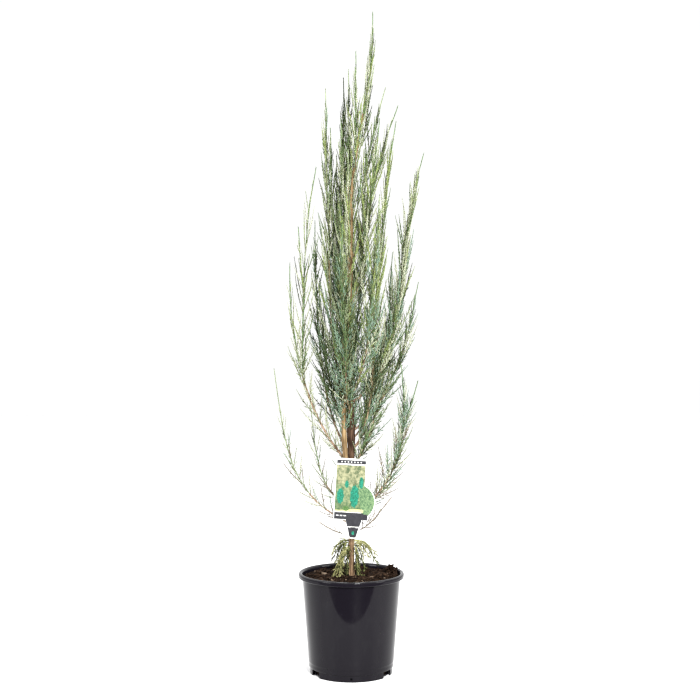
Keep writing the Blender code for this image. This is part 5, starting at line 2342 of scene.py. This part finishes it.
@dataclass
class PlantLabel:
    """A printed plastic card with a tongue, tied to the trunk, with a plain garden picture."""

    trunk: Trunk
    width: float = 0.058
    height: float = 0.117
    corner: float = 0.007
    lobe: Triple = (0.0135, 0.0815, 0.0355)  # its centre across and down, and its radius
    lobe_first: float = -68.0  # where its edge leaves the panel's foot, in degrees
    lobe_points: int = 23
    tongue_x: float = 0.0100
    tongue: Triple = (0.0234, 0.015, 0.034)  # width at its top, width at its tip, height
    neck: Pair = (0.030, 0.011)  # width and height
    tongue_corner: float = 0.002  # cut off each lower corner
    tongue_inset: float = 0.0012  # of its print, from its edge and from the neck
    thickness: float = 0.0007
    top: float = 0.408
    centre_x: float = 0.001
    front: float = -0.0192
    tilt: float = 3.4
    clear: float = 0.005  # foliage keeps this far from its edges
    clear_front: float = 0.020  # and this far before it
    margin: float = 0.0020  # round the picture
    ink: float = 0.00006
    layer: float = 0.000004  # by which each shape of the print stands over the last
    strap_z: float = 0.348
    strap_height: float = 0.006
    strap_thickness: float = 0.0012
    strap_sides: int = 48
    pad_width: float = 0.010  # of the strap's pad behind the card
    pad_share: float = 0.8  # of the strap's height is the pad's

    def place(self) -> Matrix:
        """Works out where the card hangs.

        Returns:
            What takes its own plane, x across and y up from its top edge, to its place.
        """
        upright = Matrix.Rotation(math.radians(90), 4, "X")
        lean = Matrix.Rotation(math.radians(self.tilt), 4, "Y")
        return Matrix.Translation((self.centre_x, self.front, self.top)) @ lean @ upright

    def room(self) -> tuple[Array, Array]:
        """Works out the space that foliage keeps out of.

        Returns:
            Its lowest and highest corner.
        """
        left = self.centre_x - self.width / 2 - self.clear
        right = self.centre_x + self.lobe[0] + self.lobe[2] + self.clear
        foot = self.top - self.height - self.tongue[2]
        low = np.array((left, self.front - self.clear_front, foot))
        return low, np.array((right, self.front + self.clear, self.top + self.clear))

    def outline(self) -> Outline:
        """The card's outline in its own plane: a panel with a round lobe and a tongue.

        Returns:
            Corners, anticlockwise.
        """
        half, corner, foot = self.width / 2, self.corner, -self.height
        points = []
        for cx, cy, first in (
            (half - corner, -corner, 0),
            (-half + corner, -corner, 90),
            (-half + corner, foot + corner, 180),
        ):
            points += arc(cx, cy, corner, first)
        return points + self.tongue_outline(foot) + self.lobe_outline(half)

    def tongue_outline(self, foot: float, inset: float = 0.0) -> Outline:
        """Draws the neck and the tongue under the panel.

        Args:
            foot: The height of the panel's foot.
            inset: How far inside the edge the outline runs.

        Returns:
            Corners, from left to right.
        """
        tip = foot - self.tongue[2] + 2 * inset
        neck, top, end = (-width / 2 + inset for width in (self.neck[0], *self.tongue[:2]))
        cut = self.tongue_corner
        left = [(neck, foot), (top, foot - self.neck[1]), (end, tip + cut), (end + cut, tip)]
        right = [(-x, y) for x, y in reversed(left)]
        return [(x + self.tongue_x, y) for x, y in left + right]

    def lobe_outline(self, edge: float, inset: float = 0.0) -> Outline:
        """Draws the round lobe.

        Args:
            edge: How far right it ends, on the panel's edge.
            inset: How far inside the edge the outline runs.

        Returns:
            Corners, from its foot up.
        """
        x, drop, radius = self.lobe[0], self.lobe[1], self.lobe[2] - inset
        last = math.degrees(math.acos((edge - x) / radius))
        turns = np.radians(np.linspace(self.lobe_first, last, self.lobe_points))
        return [(x + radius * math.cos(a), -drop + radius * math.sin(a)) for a in turns]

    def flat(
        self, name: str, shapes: Shapes, low: float, high: float, finishes: list[Material]
    ) -> Object:
        """Flat shapes in the card's plane, raised to a thickness.

        Args:
            name: The object's name.
            shapes: The corners of each shape and the number of its finish.
            low: How far behind the plane they start.
            high: How far before it they end.
            finishes: The materials.

        Returns:
            The new object.
        """
        bm = bmesh.new()
        for level, (corners, slot) in enumerate(shapes):
            face = bm.faces.new([bm.verts.new((x, y, low)) for x, y in corners])
            face.normal_update()
            if face.normal.z < 0:
                face.normal_flip()
            rise = high - low + self.layer * level
            lifted = bmesh.ops.extrude_face_region(bm, geom=[face], use_keep_orig=True)["geom"]
            verts = [part for part in lifted if isinstance(part, bmesh.types.BMVert)]
            bmesh.ops.translate(bm, vec=(0, 0, rise), verts=verts)
            group = {face} | {f for v in verts for f in v.link_faces}
            for part in group:
                part.material_index = slot
        bmesh.ops.recalc_face_normals(bm, faces=bm.faces)
        bm.transform(self.place())
        return from_bmesh(name, bm, *finishes)

    def picture(self) -> Shapes:
        """Draws the plain garden picture and the bands.

        Returns:
            Shapes with their inks, the lowest first.
        """
        left, right = -self.width / 2 + self.margin, self.width / 2 - self.margin
        sky, ground, foot = -0.0128, -0.1010, -self.height + self.margin
        hedge = self.clipped(self.lobe_outline(0.0120, inset=self.margin), foot)
        shapes = [
            (box(left, -0.0100, right, -0.0034), Ink.CHARCOAL),
            (box(left, ground, right, sky), Ink.HAZE),
            (hill(left, right, ground, crest=-0.0560, swell=0.0080, phase=0.6), Ink.FAR_GREEN),
            (hill(left, right, ground, crest=-0.0780, swell=0.0060, phase=2.6), Ink.MEADOW),
            (hedge, Ink.HEDGE),
            (bush(-0.0175, -0.0860, width=0.0130, height=0.0290), Ink.TEAL),
            (bush(0.0090, -0.0920, width=0.0160, height=0.0420), Ink.TEAL),
            (bush(0.0205, -0.0560, width=0.0080, height=0.0220), Ink.TEAL),
            (bush(-0.0065, -0.0560, width=0.0070, height=0.0140), Ink.TEAL),
            (hill(left, right, ground, crest=-0.0965, swell=0.0014, phase=4.4), Ink.PATH),
            (bush(-0.0060, -0.0990, width=0.0120, height=0.0090), Ink.LEAF),
            (box(left, foot, right, ground - 0.0012), Ink.CHARCOAL),
            (box(left, foot, right + 0.0085, -0.1040), Ink.CHARCOAL),
        ]
        dots, bars = np.linspace(-0.018, 0.018, 7), (-0.0235, -0.0165, -0.0095)
        shapes += [(bush(x, -0.0083, width=0.0030, height=0.0030), Ink.GREY) for x in dots]
        shapes += [(box(x, -0.1094, x + 0.0050, -0.1070), Ink.GREY) for x in bars]
        return shapes

    @staticmethod
    def clipped(corners: Outline, low: float) -> Outline:
        """A round outline cut off level below a height."""
        kept = [(x, max(y, low)) for x, y in corners]
        return [kept[i] for i in range(len(kept)) if i == 0 or kept[i] != kept[i - 1]]

    def tag(self) -> Shapes:
        """Draws the dark print of the neck and tongue, with plain bars.

        Returns:
            Shapes with their inks, the lowest first.
        """
        middle, foot = self.tongue_x, -self.height
        top, bar_low, bar_high = foot + 0.0020, foot - 0.0138, foot - 0.0128
        root = self.tongue_outline(foot, inset=0.0003)
        neck = [(root[0][0], top), *root[:2], *root[-2:], (root[-1][0], top)]
        inner = self.tongue_outline(foot, inset=self.tongue_inset)
        tongue = [(x, min(y, foot - self.neck[1] - self.tongue_inset)) for x, y in inner]
        bars = [box(middle + x, bar_low, middle + x + 0.0042, bar_high) for x in (-0.0088, 0.0046)]
        leaf = bush(middle, foot - 0.0270, width=0.0050, height=0.0075)
        shapes = [(neck, Ink.CHARCOAL), (tongue, Ink.CHARCOAL)]
        return [*shapes, *((bar, Ink.GREY) for bar in bars), (leaf, Ink.TEAL)]

    def build(self) -> None:
        """Makes the card, its print and the strap."""
        white = CARD_WHITE.make()
        half = self.thickness / 2
        card = self.flat("label_card", [(self.outline(), 0)], -half, half, [white])
        rounded(card, width=0.00015)
        settle(card, ["plant_label"])
        inks = [INKS[ink].make() for ink in Ink]
        for name, shapes in (("label_print", self.picture()), ("label_tag", self.tag())):
            piece = self.flat(name, shapes, half, half + self.ink, inks)
            settle(piece, ["plant_label"])
        self.build_strap(white)

    def build_strap(self, finish: Material) -> None:
        """Makes the flat band that ties the card to the trunk.

        Args:
            finish: The card's own plastic.
        """
        s = self.trunk.path.length_at_height(self.strap_z)
        axis, radius = self.trunk.path.at(s), float(self.trunk.path.radius(s))
        inner, half = radius + 2 * GAP, self.strap_height / 2
        outer = inner + self.strap_thickness
        section = [(inner, -half), (inner, half), (outer, half), (outer, -half)]
        bm = lathed(section, self.strap_sides, closed=True)
        front = -inner - self.strap_thickness * 0.5
        back = self.front + self.thickness / 2 + GAP / 2 - axis[1]
        size = (self.pad_width, abs(front - back), self.strap_height * self.pad_share)
        place = Matrix.Translation((0, (front + back) / 2, 0)) @ Matrix.Diagonal((*size, 1))
        bmesh.ops.create_cube(bm, size=1.0, matrix=place)
        bmesh.ops.recalc_face_normals(bm, faces=bm.faces)
        bm.transform(Matrix.Translation((axis[0], axis[1], self.strap_z)))
        strap = from_bmesh("label_strap_band", bm, finish)
        rounded(strap, width=0.0002)
        settle(strap, ["label_strap"])


def arc(cx: float, cy: float, radius: float, first: float) -> Outline:
    """Gives points on a quarter circle.

    Args:
        cx: Centre, across.
        cy: Centre, upwards.
        radius: Radius of the circle.
        first: Angle of the first point, in degrees.

    Returns:
        Nine points.
    """
    steps = 8
    turns = [math.radians(first + 90 * k / steps) for k in range(steps + 1)]
    return [(cx + radius * math.cos(a), cy + radius * math.sin(a)) for a in turns]


def box(left: float, low: float, right: float, high: float) -> Outline:
    """The corners of an upright rectangle."""
    return [(left, low), (right, low), (right, high), (left, high)]


def hill(
    left: float, right: float, low: float, crest: float, swell: float, phase: float
) -> Outline:
    """A strip of land with a rolling upper edge.

    Args:
        left: Its left edge.
        right: Its right edge.
        low: Its lower edge.
        crest: The middle height of its upper edge.
        swell: How far that edge rises and falls.
        phase: Where the swell starts, in radians.

    Returns:
        Its corners, anticlockwise.
    """
    steps, turn = 24, 4.2
    points = [(left, low), (right, low)]
    for k in range(steps + 1):
        x = right + (left - right) * k / steps
        angle = phase + turn * (x - left) / (right - left)
        points.append((x, crest + swell * math.sin(angle)))
    return points


def bush(x: float, foot: float, width: float, height: float) -> Outline:
    """A round-topped bush with a lobed edge.

    Args:
        x: Its middle.
        foot: Its lowest point.
        width: How wide it is.
        height: How tall it is.

    Returns:
        Its corners, anticlockwise.
    """
    corners, lobes, depth = 40, 9, 0.07
    points = []
    for k in range(corners):
        angle = 2 * math.pi * k / corners
        swell = 1 + depth * math.cos(lobes * angle)
        across, up = width / 2 * swell * math.cos(angle), height / 2 * swell * math.sin(angle)
        points.append((x + across, foot + height / 2 + up))
    return points


# Floor, light and camera


@dataclass(frozen=True)
class Lamp:
    """A soft square light that faces the middle of the plant."""

    name: str
    place: Triple
    side: float
    power: float


LAMPS = (
    Lamp("key", (0.75, -2.9, 2.1), 0.7, 190),
    Lamp("left_fill", (-2.4, -1.6, 1.5), 1.0, 45),
    Lamp("right_fill", (2.4, -1.0, 1.3), 1.0, 30),
    Lamp("top", (0.0, 0.5, 3.1), 1.2, 40),
)


@dataclass
class Studio:
    """A pale floor, soft light all round and the camera."""

    floor: CardFinish = CardFinish("pale_floor", (0.93,) * 3, (0.95,) * 3, scale=2, specular=0.1)
    floor_side: float = 12.0
    floor_z: float = -0.0004
    card: CardFinish = CardFinish("gloss_card", (0.06, 0.06, 0.066), (0.075, 0.075, 0.08), scale=3)
    card_sides: Pair = (3.0, 2.4)
    card_from: float = -0.365  # the floor's bright part ends here in the pot's gloss
    card_z: float = 0.001
    world: float = 1.02
    aim: Triple = (0, 0, 0.55)
    lens: float = 70.97
    sensor: float = 36.0
    camera_place: Triple = (-0.0025, -2.6, 0.70)
    pitch: float = 1.96
    filter_width: float = 1.3

    def build(self) -> None:
        """Makes the floor, the lights, the world and the camera."""
        self.build_floor()
        self.build_light()
        self.build_camera()

    @staticmethod
    def sheet(
        name: str, finish: CardFinish, parts: int, sides: Pair, centre: Triple
    ) -> Object:
        """Makes a level rectangle.

        Args:
            name: Its name.
            finish: Its finish.
            parts: How many strips it has each way.
            sides: Its sides.
            centre: Its middle.

        Returns:
            The new object.
        """
        bm = bmesh.new()
        bmesh.ops.create_grid(bm, x_segments=parts, y_segments=parts, size=0.5)
        bmesh.ops.scale(bm, vec=(*sides, 1), verts=bm.verts)
        bmesh.ops.translate(bm, vec=centre, verts=bm.verts)
        return from_bmesh(name, bm, finish.make())

    def build_floor(self) -> None:
        """Makes the floor and the dark card that only gloss sees."""
        side, card_y = self.floor_side, self.card_from - self.card_sides[1] / 2
        floor = self.sheet("floor", self.floor, 4, (side, side), (0, 0, self.floor_z))
        card = self.sheet("gloss_card", self.card, 1, self.card_sides, (0, card_y, self.card_z))
        for way in ("camera", "diffuse", "shadow", "transmission", "volume_scatter"):
            setattr(card, f"visible_{way}", False)
        floor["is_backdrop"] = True
        card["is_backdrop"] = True

    def build_light(self) -> None:
        """Makes the near-white world and the lamps."""
        world = bpy.data.worlds.new("studio")
        world.use_nodes = True
        background = world.node_tree.nodes["Background"]
        background.inputs["Color"].default_value = (1, 1, 1, 1)
        background.inputs["Strength"].default_value = self.world
        bpy.context.scene.world = world
        for lamp in LAMPS:
            data = bpy.data.lights.new(lamp.name, "AREA")
            data.shape, data.size, data.energy = "SQUARE", lamp.side, lamp.power
            light = bpy.data.objects.new(lamp.name, data)
            light.location = lamp.place
            way = Vector(self.aim) - Vector(lamp.place)
            light.rotation_euler = way.to_track_quat("-Z", "Y").to_euler()
            light.visible_camera = False
            bpy.context.scene.collection.objects.link(light)

    def build_camera(self) -> None:
        """Sets the camera at the photograph's height, distance and pitch."""
        data = bpy.data.cameras.new("camera")
        data.lens, data.sensor_width = self.lens, self.sensor
        camera = bpy.data.objects.new("camera", data)
        camera.location = self.camera_place
        camera.rotation_euler = (math.radians(90 - self.pitch), 0, 0)
        scene = bpy.context.scene
        scene.collection.objects.link(camera)
        scene.camera = camera
        scene.view_settings.view_transform = "Standard"
        scene.cycles.denoising_prefilter = "NONE"  # or fine foliage smears
        scene.cycles.filter_width = self.filter_width


def main() -> None:
    """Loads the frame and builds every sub-assembly in order."""
    logging.basicConfig(level=logging.INFO, format="%(name)s %(message)s")
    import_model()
    solid_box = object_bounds()
    trunk = Trunk()
    label = PlantLabel(trunk)
    crown = Crown(trunk, label.room(), (np.array(solid_box[0]), np.array(solid_box[1])))
    Woodwork(trunk).build(crown.boughs)
    crown.build()
    DrySprigs(trunk).build()
    pot = Pot()
    pot.build()
    PottingMix(pot).build()
    label.build()
    Studio().build()
    bpy.context.view_layer.update()


if __name__ == "__main__":
    main()
